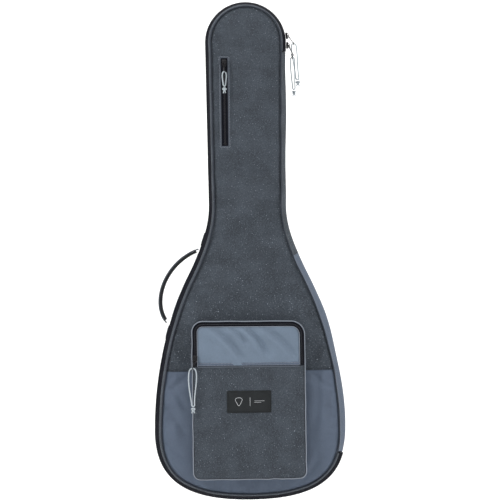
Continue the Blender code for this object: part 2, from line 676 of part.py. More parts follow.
def accessory_pocket(hinge):
    """The box pocket: side wall, lower panel, label and zipper, and the flap that the zipper frees."""
    outline = pocket_outline()
    face = behind_front(-POCKET_DEPTH)
    face_back = behind_front(-POCKET_DEPTH + POCKET_CLOTH)
    piping = 2 * POCKET_PIPING_RADIUS
    wall("pocket_gusset", outline, None, None, 0, POCKET_CLOTH,
         behind_front(-POCKET_DEPTH + piping + GAP), behind_front(-GAP), "heather", hinge)
    ring_tube("pocket_piping", outline, POCKET_PIPING_RADIUS,
        behind_front(-POCKET_DEPTH + POCKET_PIPING_RADIUS),
              POCKET_PIPING_RADIUS, "piping", hinge)
    inset = outline.inset(piping + GAP)
    plate("pocket_panel_lower", between_heights(inset, 0, POCKET_SEAM - GAP), face, face_back, "heather",
        hinge)
    wide, high, thick = LABEL
    corners = np.array([(LABEL_X + sx * wide / 2, LABEL_HEIGHT + sz * high / 2) for sx,
        sz in ((-1, -1), (1, -1), (1, 1), (-1, 1))])
    plate("label_patch", corners, behind_front(-POCKET_DEPTH - GAP - thick),
        behind_front(-POCKET_DEPTH - GAP), "rubber", hinge)

    right, left = outline.at_height(POCKET_SEAM + GAP, 1), outline.at_height(POCKET_SEAM + GAP, -1)
    rear_tape = piping + GAP
    coil = rear_tape + POCKET_TAPE_WIDTH + GAP
    front_tape = coil + COIL_WIDTH + GAP
    flap = front_tape + POCKET_TAPE_WIDTH + GAP
    wall("pocket_zipper_tape_rear", outline, right, left, rear_tape, rear_tape + POCKET_TAPE_WIDTH, face,
        face_back, "zipper", hinge)
    wall("pocket_zipper_coil", outline, right, left, coil, coil + COIL_WIDTH,
         behind_front(-POCKET_DEPTH - COIL_PROUD), face_back, "zipper", hinge)

    flap_axis = axis_empty("pocket_flap_axis", (POCKET_X, face(FLAP_FOLD), FLAP_FOLD))
    wall("pocket_zipper_tape_front", outline, right, left, front_tape, front_tape + POCKET_TAPE_WIDTH,
         face, face_back, "zipper", flap_axis)
    plate("pocket_panel_upper", between_heights(outline.inset(flap), POCKET_SEAM + GAP, 1), face, face_back,
        "slate", flap_axis)

    z = POCKET_SEAM + 0.016
    x = POCKET_X - POCKET_WIDTH / 2 + coil + COIL_WIDTH / 2
    place = Vector((x, behind_front(-POCKET_DEPTH - COIL_PROUD)(z), z))
    matrix = frame_at(place, (0, LEAN, 1), (0, -1, LEAN))
    slider("pocket_slider", matrix, hinge)
    ring = pull_tab("pocket_tab", matrix, 12, -16, 0, hinge)
    pull_cord("pocket", ring, POCKET_LOOP, 0, hinge)


def main_pulls(outline):
    """The main zipper's two sliders, side by side at its closed end, with their tabs and cords."""
    head = axis_empty("main_slider_axis", (0, behind_front(CHAIN_DEPTH)(HEAD_CENTRE), HEAD_CENTRE))
    reach = HEAD_RADIUS + COIL_PROUD
    upper, lower = math.radians(MAIN_SLIDER_ANGLE), -SLIDER_SPACING
    lower_x = outline.at([outline.at_height(HEAD_CENTRE + lower, 1)])[0][0] + COIL_PROUD
    edge = (HEAD_RADIUS - WAIST_HALF_WIDTH) / (HEAD_CENTRE - WAIST_HEIGHT)
    places = (
        ("main_upper", (reach * math.cos(upper), reach * math.sin(upper)),
            (-math.sin(upper), math.cos(upper)), head),
        ("main_lower", (lower_x, lower), (edge, 1), None),
    )
    hangs = {"main_upper": (26, 4, 0, 1.13, 0.10), "main_lower": (22, -14, -30, 1.0, 0.04)}
    for name, (x, rise), (ax, az), parent in places:
        z = HEAD_CENTRE + rise
        along = Vector((ax, LEAN * az, az))
        place = Vector((x, behind_front(CHAIN_DEPTH)(z), z))
        matrix = frame_at(place, along, (az, 0, -ax))
        lean, skew, turn, longer, drift = hangs[name]
        slider(name + "_slider", matrix, parent)
        ring = pull_tab(name + "_tab", matrix, lean, skew, 0, parent)
        if name == "main_lower":
            ring = swivel(name + "_swivel", ring, 90, turn, parent)
        pull_cord(name, ring, LONG_LOOP, turn, parent, longer, drift)


def side_handle(outline):
    """The carry handle on the left side wall: a strap with a grip under it, between two sewn anchors."""
    steps = 18
    path = np.vstack([bezier(HANDLE_FOOT, *HANDLE_BULGE, HANDLE_HEAD, steps), [HANDLE_HEAD]])
    ahead = np.gradient(path, axis=0)
    ahead /= np.linalg.norm(ahead, axis=1)[:, None]
    inward = np.stack([ahead[:, 1], -ahead[:, 0]], axis=1)
    chord = Vector(HANDLE_HEAD) - Vector(HANDLE_FOOT)
    middle = (Vector(HANDLE_HEAD) + Vector(HANDLE_FOOT)) / 2
    y = behind_front(HANDLE_BEHIND_FRONT)(middle.y)
    axis = axis_empty("side_handle_axis", (middle.x, y, middle.y))
    width = Vector((0, HANDLE_WIDTH / 2, 0))

    def layer(name, near, far, first, last, finish):
        shown = slice(first, len(path) - last)
        depth = (near + far) / 2
        centres = [Vector((p[0] + n[0] * depth, y, p[1] + n[1] * depth)) for p,
            n in zip(path[shown], inward[shown])]
        up = [Vector((n[0], 0, n[1])) * (far - near) / 2 for n in inward[shown]]
        return sweep(name, centres, [width] * len(centres), up, finish, axis)

    layer("side_handle_strap", 0, HANDLE_STRAP, 0, 0, "webbing")
    layer("side_handle_grip", HANDLE_STRAP + GAP, HANDLE_STRAP + GAP + HANDLE_GRIP, 1, 1, "webbing")
    for name, end, away in (("handle_anchor_upper", HANDLE_HEAD, 1),
        ("handle_anchor_lower", HANDLE_FOOT, -1)):
        long, thick, start = 0.030, 0.0030, 0.006
        along = outline.at_height(end[1], -1) - away * start
        distances = np.array([along, along - away * long / 2, along - away * long])
        points = outline.at(distances, -thick / 2 - GAP)
        outs = outline.at(distances, -thick) - outline.at(distances, 0)
        centres = [Vector((p[0], y, p[1])) for p in points]
        sweep(name, centres, [width] * 3, [Vector((o[0], 0, o[1])) / 2 for o in outs], "webbing")
    return chord


def haul_loop():
    """The loop on the back of the head that the bag hangs by."""
    across, thick = HAUL_LOOP_WEB
    y = BACK_Y + GAP + 0.0016 + across / 2
    radius = HAUL_LOOP_HALF_WIDTH
    straight = HAUL_LOOP_RISE - radius - thick / 2
    turns = np.radians(np.linspace(0, 180, 11))
    centres = [Vector((radius, y, HAUL_LOOP_FOOT))]
    centres += [Vector((radius * math.cos(a), y,
        HAUL_LOOP_FOOT + straight + radius * math.sin(a))) for a in turns]
    centres += [Vector((-radius, y, HAUL_LOOP_FOOT))]
    ups = [Vector((1, 0, 0)), *[Vector((math.cos(a), 0, math.sin(a))) for a in turns], Vector((-1, 0, 0))]
    sweep("haul_loop", centres, [Vector((0, across / 2, 0))] * len(centres), [u * thick / 2 for u in ups],
        "webbing")


def haul_loop_patch():
    """The patch that both ends of the haul loop are sewn under."""
    half = HAUL_LOOP_HALF_WIDTH + 0.012
    patch = box_mesh("haul_loop_patch", (-half, BACK_Y + GAP, HAUL_LOOP_FOOT - 0.030),
        (half, BACK_Y + 0.0027, HAUL_LOOP_FOOT - 0.001))
    add("haul_loop_patch", patch, "webbing")


def shoulder_straps():
    """Two padded straps on the back, each with a ladder lock and a webbing that is sewn to the foot of the back."""
    patch = box_mesh("strap_anchor_patch", (-0.074, BACK_Y + GAP, STRAP_TOP + 0.002),
        (0.074, BACK_Y + 0.0040, STRAP_TOP + 0.050))
    add("strap_anchor_patch", patch, "webbing")
    steps = 14
    t = np.linspace(0, 1, steps + 1)
    for side, hand in ((1, "right"), (-1, "left")):
        x = STRAP_X[0] + (STRAP_X[1] - STRAP_X[0]) * t * t
        z = STRAP_TOP + (STRAP_FOOT - STRAP_TOP) * t
        y = BACK_Y + 0.0015 + STRAP_THICKNESS / 2 + STRAP_BOW * np.sin(math.pi * 0.5 * t) ** 2 * (1.25 - 0.25 * t)
        half = STRAP_HALF_WIDTH[0] + (STRAP_HALF_WIDTH[1] - STRAP_HALF_WIDTH[0]) * t
        centres = [Vector((side * a, b, c)) for a, b, c in zip(x, y, z)]
        swing = axis_empty("strap_axis_" + hand, centres[0])
        ahead = np.gradient(np.array(centres), axis=0)
        across = [Vector((-v[2], 0, v[0])).normalized() for v in ahead]
        up = [Vector(v).normalized().cross(a) * STRAP_THICKNESS / 2 for v, a in zip(ahead, across)]
        sweep("shoulder_strap_" + hand, centres, [a * w for a, w in zip(across, half)], up, "webbing", swing)

        wide, high, thick = LOCK
        down = (centres[-1] - centres[-2]).normalized()
        turn = frame_at(centres[-1] + down * (high / 2 + GAP), down, (0, 1, 0))
        name = "ladder_lock_" + hand
        lock = add(name, box_mesh(name, (-high / 2, -wide / 2, -thick / 2),
            (high / 2, wide / 2, thick / 2)), "plastic", swing, turn)
        for slot in (-1, 1):
            cut = box_mesh(name + "_slot", (slot * 0.0052 - 0.0021, -wide / 2 + 0.0040, -0.01),
                (slot * 0.0052 + 0.0021, wide / 2 - 0.0040, 0.01))
            boolean(lock, helper(name + f"_slot_{slot + 1}", cut, turn), "DIFFERENCE")

        begin = centres[-1] + down * (high + 0.0016)
        foot = Vector((side * (BODY_HALF_WIDTH - WEB_FOOT_INSET), BACK_Y + 0.0015 + WEB_THICKNESS / 2,
            WEB_FOOT_HEIGHT))
        anchor = axis_empty("webbing_axis_" + hand, foot)
        s = np.linspace(0, 1, 9)
        bend = s * s * (3 - 2 * s)
        line = [begin + Vector(((foot.x - begin.x) * a, (foot.y - begin.y) * b,
            (foot.z - begin.z) * a)) for a, b in zip(s, bend)]
        ahead = np.gradient(np.array(line), axis=0)
        across = [Vector((-v[2], 0, v[0])).normalized() for v in ahead]
        up = [Vector(v).normalized().cross(a) * WEB_THICKNESS / 2 for v, a in zip(ahead, across)]
        sweep("strap_webbing_" + hand, line, [a * WEB_HALF_WIDTH for a in across], up, "webbing", anchor)


def neck_rest():
    """A foam block with a hollow for the guitar's neck, and the strap that closes over it."""
    climb = (CRADLE_FOOT + CRADLE_HEIGHT - WAIST_HEIGHT) / (HEAD_CENTRE - WAIST_HEIGHT)
    at_top = WAIST_HALF_WIDTH + (HEAD_RADIUS - WAIST_HALF_WIDTH) * climb
    half = min(WAIST_HALF_WIDTH, at_top) - CLOTH - SIDE_FOAM - LINING - 6 * GAP
    far = BACK_Y - BACK_STACK - GAP
    near = far - CRADLE_RISE
    notch = [(CRADLE_NOTCH * math.cos(a), near + CRADLE_NOTCH * math.sin(a)) for a in np.linspace(0,
        math.pi, 11)]
    loop = [(-half, far), (half, far), (half, near), *notch, (-half, near)]
    n = len(loop)
    verts = [(x, y, CRADLE_FOOT + up) for up in (0, CRADLE_HEIGHT) for x, y in loop]
    faces = [tuple(range(n)), tuple(range(n, 2 * n)),
        *[(i, (i + 1) % n, (i + 1) % n + n, i + n) for i in range(n)]]
    add("neck_cradle", mesh_of("neck_cradle", verts, faces), "lining")
    middle = CRADLE_FOOT + CRADLE_HEIGHT / 2
    strap = box_mesh("neck_strap", (-half + 0.004, near - GAP - 0.0022, middle - NECK_STRAP_WIDTH / 2),
                     (half - 0.004, near - GAP, middle + NECK_STRAP_WIDTH / 2))
    add("neck_strap", strap, "webbing")


def main():
    clear_scene()
    outline = bag_outline()
    head, low = hinge_line(outline)
    hinge = axis_empty("cover_hinge_axis", (head.x, behind_front(0)(head.y), head.y))
    base_shell(outline)
    cover(outline, hinge)
    neck_pocket(hinge)
    accessory_pocket(hinge)
    main_pulls(outline)
    side_handle(outline)
    haul_loop()
    haul_loop_patch()
    shoulder_straps()
    neck_rest()
    for obj in bpy.data.objects:
        if obj.type == "MESH":
            obj.data.shade_smooth()
            obj.data.set_sharp_from_angle(angle=math.radians(40))


main()
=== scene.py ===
import json
import math
import bpy
import numpy as np
from mathutils import Matrix, Vector

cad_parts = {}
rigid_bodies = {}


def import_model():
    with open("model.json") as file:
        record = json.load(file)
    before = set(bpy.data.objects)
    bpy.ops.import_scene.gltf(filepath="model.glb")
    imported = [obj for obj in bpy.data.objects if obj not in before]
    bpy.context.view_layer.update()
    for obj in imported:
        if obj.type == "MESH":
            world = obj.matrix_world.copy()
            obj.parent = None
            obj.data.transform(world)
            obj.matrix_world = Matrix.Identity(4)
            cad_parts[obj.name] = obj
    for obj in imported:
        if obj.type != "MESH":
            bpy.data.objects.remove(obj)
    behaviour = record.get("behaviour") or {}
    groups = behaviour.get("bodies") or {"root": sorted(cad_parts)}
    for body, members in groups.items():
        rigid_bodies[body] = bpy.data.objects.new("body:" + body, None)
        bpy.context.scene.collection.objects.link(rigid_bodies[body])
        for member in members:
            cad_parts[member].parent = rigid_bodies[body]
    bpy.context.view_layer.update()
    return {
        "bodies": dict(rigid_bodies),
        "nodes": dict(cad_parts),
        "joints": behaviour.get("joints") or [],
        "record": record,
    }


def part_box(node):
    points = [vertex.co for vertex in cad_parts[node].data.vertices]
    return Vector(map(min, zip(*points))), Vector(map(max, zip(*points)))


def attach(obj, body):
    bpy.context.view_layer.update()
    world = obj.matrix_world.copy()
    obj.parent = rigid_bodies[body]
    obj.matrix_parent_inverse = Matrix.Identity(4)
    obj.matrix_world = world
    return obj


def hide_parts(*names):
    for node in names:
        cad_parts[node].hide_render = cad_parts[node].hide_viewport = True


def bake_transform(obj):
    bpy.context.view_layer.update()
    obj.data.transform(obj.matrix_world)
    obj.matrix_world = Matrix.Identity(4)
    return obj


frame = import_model()
print("frame loaded,", len(frame["nodes"]), "nodes")

wholeTurn = 6.283  # radians in a whole turn

# the bag's measures that most pieces share, in metres
bag = {
    "length": 1.094,
    "widest": (0.209, 0.150),  # half width and its height
    "flank": (0.133, 0.490),
    "flankLean": 27.5,
    "waist": (0.084, 0.648),
    "headRadius": 0.088,
    "lean": (0.140 - 0.105) / 1.094,  # the front leans back this much for each metre up
    "depthAtFoot": 0.140,
    "backY": float(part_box("back_panel_upper")[1][1]),
    "twoTone": 0.285,  # height of the seam between the two cloths
    "sideTone": 0.540,  # the same on the side walls
    "edgeInset": (0.0140, 0.0105),  # front panel's edge inside the outline, at the body and at the neck
    "zipTop": 0.982,
    "zipFoot": 0.102,
    "cloth": 0.0018,
}


def front(z):
    return bag["backY"] - bag["depthAtFoot"] + bag["lean"] * np.asarray(z, float)


# outline: cubic curves for the foot, flank and neck, a quarter circle for the head, mirrored,
# then read at even steps of its own length
def cubic(a, b, c, d, count):
    t = np.linspace(0, 1, count, endpoint=False)[:, None]
    a, b, c, d = (np.array(p, float) for p in (a, b, c, d))
    return (1 - t) ** 3 * a + 3 * t * (1 - t) ** 2 * b + 3 * t * t * (1 - t) * c + t**3 * d


def bagOutline(count):
    lean = math.radians(bag["flankLean"])
    up = np.array([-math.sin(lean), math.cos(lean)])
    widest, flank, waist = (np.array(bag[k]) for k in ("widest", "flank", "waist"))
    r = bag["headRadius"]
    centre = bag["length"] - r
    turn = np.linspace(0, math.pi / 2, 60)
    right = np.vstack([
        cubic((0, 0), (0.128, 0), widest - [0, 0.116], widest, 90),
        cubic(widest, widest + [0, 0.150], flank - 0.070 * up, flank, 60),
        cubic(flank, flank + 0.060 * up, waist - [0, 0.050], waist, 40),
        np.linspace(waist, (r, centre), 60, endpoint=False),
        np.stack([r * np.cos(turn), centre + r * np.sin(turn)], 1),
    ])
    ring = np.vstack([right, right[1:-1][::-1] * [-1, 1], right[:1]])
    walked = np.concatenate([[0], np.cumsum(np.linalg.norm(np.diff(ring, axis=0), axis=1))])
    at = np.linspace(0, walked[-1], count, endpoint=False)
    points = np.stack([np.interp(at, walked, ring[:, i]) for i in (0, 1)], 1)
    return points, at, walked[-1]


ringPoints, ringAt, ringLength = bagOutline(1400)
ahead = np.roll(ringPoints, -2, axis=0) - np.roll(ringPoints, 2, axis=0)
ahead /= np.linalg.norm(ahead, axis=1)[:, None]
ringOut = np.stack([ahead[:, 1], -ahead[:, 0]], 1)


def onRing(distance):
    d = np.mod(distance, ringLength)
    read = lambda column: np.interp(d, ringAt, column, period=ringLength)
    point = np.stack([read(ringPoints[:, i]) for i in (0, 1)], -1)
    out = np.stack([read(ringOut[:, i]) for i in (0, 1)], -1)
    return point, out / np.linalg.norm(out, axis=-1, keepdims=True)


def ringAtHeight(z):
    half = len(ringPoints) // 2
    return float(np.interp(z, ringPoints[:half, 1], ringAt[:half]))  # on the right side


sFoot, sTop = ringAtHeight(bag["zipFoot"]), ringAtHeight(bag["zipTop"])


def smooth(x, low, high):
    t = np.clip((np.asarray(x, float) - low) / (high - low), 0, 1)
    return t * t * (3 - 2 * t)


def edgeInset(z):
    return bag["edgeInset"][0] + (bag["edgeInset"][1] - bag["edgeInset"][0]) * smooth(z, 0.45, 0.70)


def wholeDepth(z):
    return bag["backY"] - front(z)


def ripple(a, b, seed, size, across):
    # soft uneven swelling of cloth: a sum of eight sine waves in mixed directions
    chance = np.random.default_rng(seed)
    total = 0
    for i in range(8):
        turn, phase = chance.uniform(0, math.pi), chance.uniform(0, 6.28)
        wave = across * chance.uniform(0.5, 1.6)
        total = total + np.sin((a * math.cos(turn) + b * math.sin(turn)) * 6.28 / wave + phase)
    return size * total / 4


# mesh parts: points, faces and UVs in metres, joined into one mesh for each piece
def grid(points, closeA=False, closeB=False):
    points = np.asarray(points, float)
    na, nb = points.shape[:2]

    def run(axis, closed):
        p = np.concatenate([points, points.take([0], axis)], axis) if closed else points
        step = np.linalg.norm(np.diff(p, axis=axis), axis=2).mean(1 - axis)
        return np.concatenate([[0], np.cumsum(step)])

    u, v = run(0, closeA), run(1, closeB)
    i = np.arange(na if closeA else na - 1)[:, None]
    j = np.arange(nb if closeB else nb - 1)[None, :]
    corners, uvs = [], []
    for di, dj in ((0, 0), (1, 0), (1, 1), (0, 1)):
        corners.append(((i + di) % na) * nb + (j + dj) % nb)
        uvs.append(np.stack(np.broadcast_arrays(u[i + di], v[j + dj]), -1))
    quads = np.stack(corners, -1).reshape(-1, 4)
    return {"verts": points.reshape(-1, 3), "faces": [quads], "uvs": [np.stack(uvs, 2).reshape(-1, 4, 2)]}


def outward(part):
    # turns a closed part's faces round where they point inwards
    p, volume = part["verts"], 0.0
    for f in part["faces"]:
        for k in range(1, f.shape[1] - 1):
            volume += np.einsum("ij,ij->", p[f[:, 0]], np.cross(p[f[:, k]], p[f[:, k + 1]]))
    if volume < 0:
        part["faces"] = [f[:, ::-1] for f in part["faces"]]
        part["uvs"] = [t[:, ::-1] for t in part["uvs"]]
    return part


def loft(rings, closed=False, strip=False):
    # a skin over rings of points; open ends close with a fan, or with a strip between two long sides
    rings = np.asarray(rings, float)
    part = grid(rings, closed, True)
    if closed:
        return outward(part)
    n, m = rings.shape[:2]
    j = np.arange(m)
    for end, flip in ((0, False), (n - 1, True)):
        if strip:
            k = np.arange(m // 2 - 1)
            cap = np.stack([k, k + 1, m - 2 - k, m - 1 - k], 1) + end * m
            cap = cap if not flip else cap[:, ::-1]
            uv = np.zeros((len(k), 4, 2))
            uv[:, :, 0] = (k * 0.002)[:, None] + [0, 0.002, 0.002, 0]
            uv[:, :, 1] = [0, 0, 0.002, 0.002]
        else:
            centre = len(part["verts"])
            part["verts"] = np.vstack([part["verts"], rings[end].mean(0)])
            cap = np.stack([j + end * m, (j + 1) % m + end * m, np.full(m, centre)], 1)
            cap = cap if not flip else cap[:, [1, 0, 2]]
            reach = float(np.linalg.norm(rings[end] - rings[end].mean(0), axis=1).mean())
            uv = np.zeros((m, 3, 2))
            uv[:, :, 1] = (j * reach * 6.28 / m)[:, None] + [0, reach * 6.28 / m, 0]
            uv[:, 2, 0] = reach
        part["faces"].append(cap)
        part["uvs"].append(uv)
    return outward(part)


def together(*parts):
    whole, seen = {"verts": [], "faces": [], "uvs": [], "kinds": []}, 0
    for part in parts:
        whole["verts"].append(part["verts"])
        whole["faces"] += [f + seen for f in part["faces"]]
        whole["uvs"] += part["uvs"]
        whole["kinds"] += part.get("kinds", [0] * len(part["faces"]))
        seen += len(part["verts"])
    whole["verts"] = np.vstack(whole["verts"])
    return whole


def kind(part, number):
    # the part takes the piece's material of that number
    part["kinds"] = [number] * len(part["faces"])
    return part


def weld(part):
    _, first, back = np.unique(np.round(part["verts"], 6), axis=0, return_index=True, return_inverse=True)
    part["verts"] = part["verts"][first]
    part["faces"] = [back.ravel()[f] for f in part["faces"]]
    return part


def meshOf(name, part):
    mesh = bpy.data.meshes.new(name)
    loops = np.concatenate([f.ravel() for f in part["faces"]])
    sizes = np.concatenate([np.full(len(f), f.shape[1]) for f in part["faces"]])
    uvs = np.concatenate([t.reshape(-1, 2) for t in part["uvs"]])
    kinds = np.concatenate([np.full(len(f), k) for f, k in zip(part["faces"], part["kinds"])])
    mesh.vertices.add(len(part["verts"]))
    mesh.vertices.foreach_set("co", part["verts"].astype(np.float32).ravel())
    mesh.loops.add(len(loops))
    mesh.loops.foreach_set("vertex_index", loops.astype(np.int32))
    mesh.polygons.add(len(sizes))
    mesh.polygons.foreach_set("loop_start", np.concatenate([[0], np.cumsum(sizes)[:-1]]).astype(np.int32))
    mesh.polygons.foreach_set("material_index", kinds.astype(np.int32))
    mesh.update(calc_edges=True)
    layer = mesh.uv_layers.new(name="UVMap")
    layer.data.foreach_set("uv", uvs.astype(np.float32).ravel())
    return mesh


def piece(name, parts, materials, body, replaces=(), sharp=50):
    part = together(*parts) if isinstance(parts, (list, tuple)) else together(parts)
    mesh = meshOf(name, part)
    for one in materials if isinstance(materials, (list, tuple)) else [materials]:
        mesh.materials.append(one)
    mesh.shade_smooth()
    mesh.set_sharp_from_angle(angle=math.radians(sharp))
    obj = bpy.data.objects.new(name, mesh)
    bpy.context.collection.objects.link(obj)
    if isinstance(body, str):
        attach(obj, body)
    else:
        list(body)
        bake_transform(obj)
    if replaces:
        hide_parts(*([replaces] if isinstance(replaces, str) else replaces))
    return obj


def thicken(obj, thickness):
    solid = obj.modifiers.new("thickness", "SOLIDIFY")
    solid.thickness, solid.offset = thickness, -1


def across(path, up):
    # for each point of a path: the way along it, the way up nearest to the one given, and the way across
    path = np.asarray(path, float)
    along = np.gradient(path, axis=0)
    along /= np.linalg.norm(along, axis=1)[:, None]
    up = np.broadcast_to(np.asarray(up, float), path.shape)
    side = np.cross(along, up)
    side /= np.linalg.norm(side, axis=1)[:, None]
    return along, np.cross(side, along), side


def sweep(path, up, profile, closed=False):
    # carries a profile (across, up) along a path; the profile may change from point to point
    path = np.asarray(path, float)
    if closed:
        longer = np.vstack([path[-2:], path, path[:2]])
        _, high, side = (a[2:-2] for a in across(longer,
            up if np.ndim(up) == 1 else np.vstack([up[-2:], up, up[:2]])))
    else:
        _, high, side = across(path, up)
    profile = np.broadcast_to(np.asarray(profile, float), (len(path), *np.shape(profile)[-2:]))
    rings = path[:, None] + side[:, None] * profile[..., :1] + high[:, None] * profile[..., 1:]
    return loft(rings, closed)


def rounded(half, high, power=2.6, count=24):
    # a profile between an ellipse and a rectangle
    a = np.linspace(0, 2 * math.pi, count, endpoint=False)
    bend = lambda v: np.sign(v) * np.abs(v) ** (2 / power)
    return np.stack([half * bend(np.cos(a)), high * bend(np.sin(a))], 1)


def circle(radius, count=10):
    return rounded(radius, radius, 2.0, count)


def evenly(path, step, closed=False):
    path = np.asarray(path, float)
    if closed:
        path = np.vstack([path, path[:1]])
    run = np.concatenate([[0], np.cumsum(np.linalg.norm(np.diff(path, axis=0), axis=1))])
    count = max(3, int(round(run[-1] / step)))
    at = np.linspace(0, run[-1], count, endpoint=not closed)
    return np.stack([np.interp(at, run, path[:, i]) for i in range(path.shape[1])], 1)


def curved(points, step, closed=False):
    # a smooth curve through the points, read at even steps
    p = np.asarray(points, float)
    ends = np.vstack([p[-1:], p, p[:2]]) if closed else np.vstack([2 * p[0] - p[1], p, 2 * p[-1] - p[-2]])
    t = np.linspace(0, 1, 16, endpoint=False)[:, None]
    fine = [0.5 * (2 * b + (c - a) * t + (2 * a - 5 * b + 4 * c - d) * t**2 + (3 * b - a - 3 * c + d) * t**3)
            for a, b, c, d in zip(ends[:-3], ends[1:-2], ends[2:-1], ends[3:])]
    return evenly(np.vstack(fine + ([] if closed else [p[-1:]])), step, closed)


def stitches(path, up, pitch=0.0036, long=0.0025, thick=0.00045, lift=0.0):
    # a row of thread stitches: each is a small capsule lying along the path
    path = evenly(np.hstack([path, np.broadcast_to(up, np.shape(path))]), pitch)
    path, up = path[:, :3], path[:, 3:]
    along, high, side = across(path, up)
    along, high, side, path = along[:-1], high[:-1], side[:-1], path[:-1] + high[:-1] * lift
    at = np.array([-0.5, -0.38, 0.0, 0.38, 0.5]) * long
    wide = np.array([0.25, 0.85, 1.0, 0.85, 0.25]) * thick
    turn = np.linspace(0, 2 * math.pi, 6, endpoint=False)
    rings = (path[:, None, None] + along[:, None, None] * at[:, None, None]
             + side[:, None, None] * (wide[:, None] * np.cos(turn))[..., None]
             + high[:, None, None] * (wide[:, None] * np.sin(turn))[..., None])
    parts = [loft(rings[0])]
    n, shape = len(rings), parts[0]
    verts = np.concatenate([rings.reshape(n, -1, 3), rings[:, :1].mean(2), rings[:, -1:].mean(2)], 1)
    shift = (np.arange(n) * verts.shape[1])[:, None, None]
    return {
        "verts": verts.reshape(-1, 3),
        "faces": [(f[None] + shift).reshape(-1, f.shape[1]) for f in shape["faces"]],
        "uvs": [np.tile(t, (n, 1, 1)) for t in shape["uvs"]],
    }


print("helpers ready")


# materials
def tie(tree, kind, inputs=(), **settings):
    made = tree.nodes.new("ShaderNode" + kind)
    for key, value in settings.items():
        setattr(made, key, value)
    for socket, value in dict(inputs).items():
        if isinstance(value, bpy.types.NodeSocket):
            tree.links.new(value, made.inputs[socket])
        else:
            made.inputs[socket].default_value = value
    return made


def sums(tree, operation, a, b=0.0):
    return tie(tree, "Math", {0: a, 1: b}, operation=operation).outputs[0]


def stretched(tree, vector, along, up):
    return tie(tree, "Mapping", {"Vector": vector, "Scale": (along, up, 1)}).outputs[0]


def noise(tree, vector, scale=1.0, detail=2.0):
    return tie(tree, "TexNoise", {"Vector": vector, "Scale": scale, "Detail": detail}).outputs["Fac"]


def between(tree, value, low, high, toLow=0.0, toHigh=1.0):
    return tie(tree, "MapRange", {0: value, 1: low, 2: high, 3: toLow, 4: toHigh}).outputs[0]


def mixed(tree, factor, a, b):
    mix = tie(tree, "Mix", {0: factor}, data_type="RGBA")
    for socket, value in ((6, a), (7, b)):
        if isinstance(value, bpy.types.NodeSocket):
            tree.links.new(value, mix.inputs[socket])
        else:
            mix.inputs[socket].default_value = (*value, 1)
    return mix.outputs[2]


def tinted(colour, share):
    return tuple(c * share for c in colour)


def surface(tree, shader, shade, height, strength, depth):
    # the shader's colour, and its relief from a height
    tree.links.new(shade, shader.inputs["Base Color"])
    bump = tie(tree, "Bump", {"Strength": strength, "Distance": depth, "Height": height})
    tree.links.new(bump.outputs[0], shader.inputs["Normal"])


def blank(name, roughness, metallic=0.0):
    made = bpy.data.materials.new(name)
    made.use_nodes = True
    tree = made.node_tree
    shader = tree.nodes["Principled BSDF"]
    shader.inputs["Roughness"].default_value = roughness
    shader.inputs["Metallic"].default_value = metallic
    return made, tree, shader


def threads(tree, uv, pitch):
    # plain weave: one sine wave along the cloth times one across it
    parts = tie(tree, "SeparateXYZ", {0: uv}).outputs
    wave = [sums(tree, "SINE", sums(tree, "MULTIPLY", parts[i], wholeTurn / pitch)) for i in (0, 1)]
    return sums(tree, "MULTIPLY", *wave)


def fabric(name, colour, pitch=0.0009, flecks=None, roughness=0.9, sheen=0.15, depth=0.00012, mottle=0.12,
    fleckShare=(0.60, 0.70)):
    made, tree, shader = blank(name, roughness)
    uv = tie(tree, "UVMap").outputs[0]
    place = tie(tree, "TexCoord").outputs["Object"]
    cloudy = noise(tree, place, 28.0, 3.0)
    fine = noise(tree, place, 330.0, 2.0)
    clouds = between(tree, sums(tree, "ADD", cloudy, sums(tree, "MULTIPLY", fine, 0.8)), 0.65, 1.15)
    shade = mixed(tree, clouds, tinted(colour, 1 - mottle), tinted(colour, 1 + mottle))
    if flecks:  # short light threads, some along the cloth and some across it
        rows = noise(tree, stretched(tree, uv, 260, 1250), 1.0, 1.0)
        columns = noise(tree, stretched(tree, uv, 1250, 260), 1.0, 1.0)
        blots = noise(tree, stretched(tree, uv, 380, 460), 1.0, 2.0)
        mask = between(tree, sums(tree, "MAXIMUM", rows, columns), *fleckShare)
        shade = mixed(tree, sums(tree, "MULTIPLY", mask, 0.60), shade, flecks)
        shade = mixed(tree, between(tree, blots, 0.66, 0.74, 0, 0.75), shade, tinted(flecks, 2.6))
        shade = mixed(tree, between(tree, blots, 0.44, 0.28, 0, 0.45), shade, tinted(colour, 0.45))
    woven = sums(tree, "ADD", threads(tree, uv, pitch), sums(tree, "MULTIPLY", fine, 1.4))
    surface(tree, shader, shade, woven, 0.7, depth)
    shader.inputs["Sheen Weight"].default_value = sheen
    shader.inputs["Sheen Roughness"].default_value = 0.5
    shader.inputs["Specular IOR Level"].default_value = 0.25
    return made


def ribbed(name, colour, pitch=0.0016, roughness=0.75, lean=0.0, depth=0.00025, edge=0.25):
    # webbing, tape or binding: ribs across its length, in UV
    made, tree, shader = blank(name, roughness)
    uv = tie(tree, "UVMap").outputs[0]
    parts = tie(tree, "SeparateXYZ", {0: uv}).outputs
    slanted = sums(tree, "ADD", parts[0], sums(tree, "MULTIPLY", parts[1], lean))
    rib = sums(tree, "SINE", sums(tree, "MULTIPLY", slanted, wholeTurn / pitch))
    grain = noise(tree, tie(tree, "TexCoord").outputs["Object"], 900.0, 2.0)
    height = sums(tree, "ADD", rib, grain)
    # painted shade and highlight: the colour is darker in the rib valleys and lighter on the rib crests,
    # following the rib height
    shade = mixed(tree, between(tree, height, -1.0, 2.0), tinted(colour, 1 - edge), tinted(colour, 1 + edge))
    surface(tree, shader, shade, height, 0.6, depth)
    shader.inputs["Specular IOR Level"].default_value = 0.12
    return made


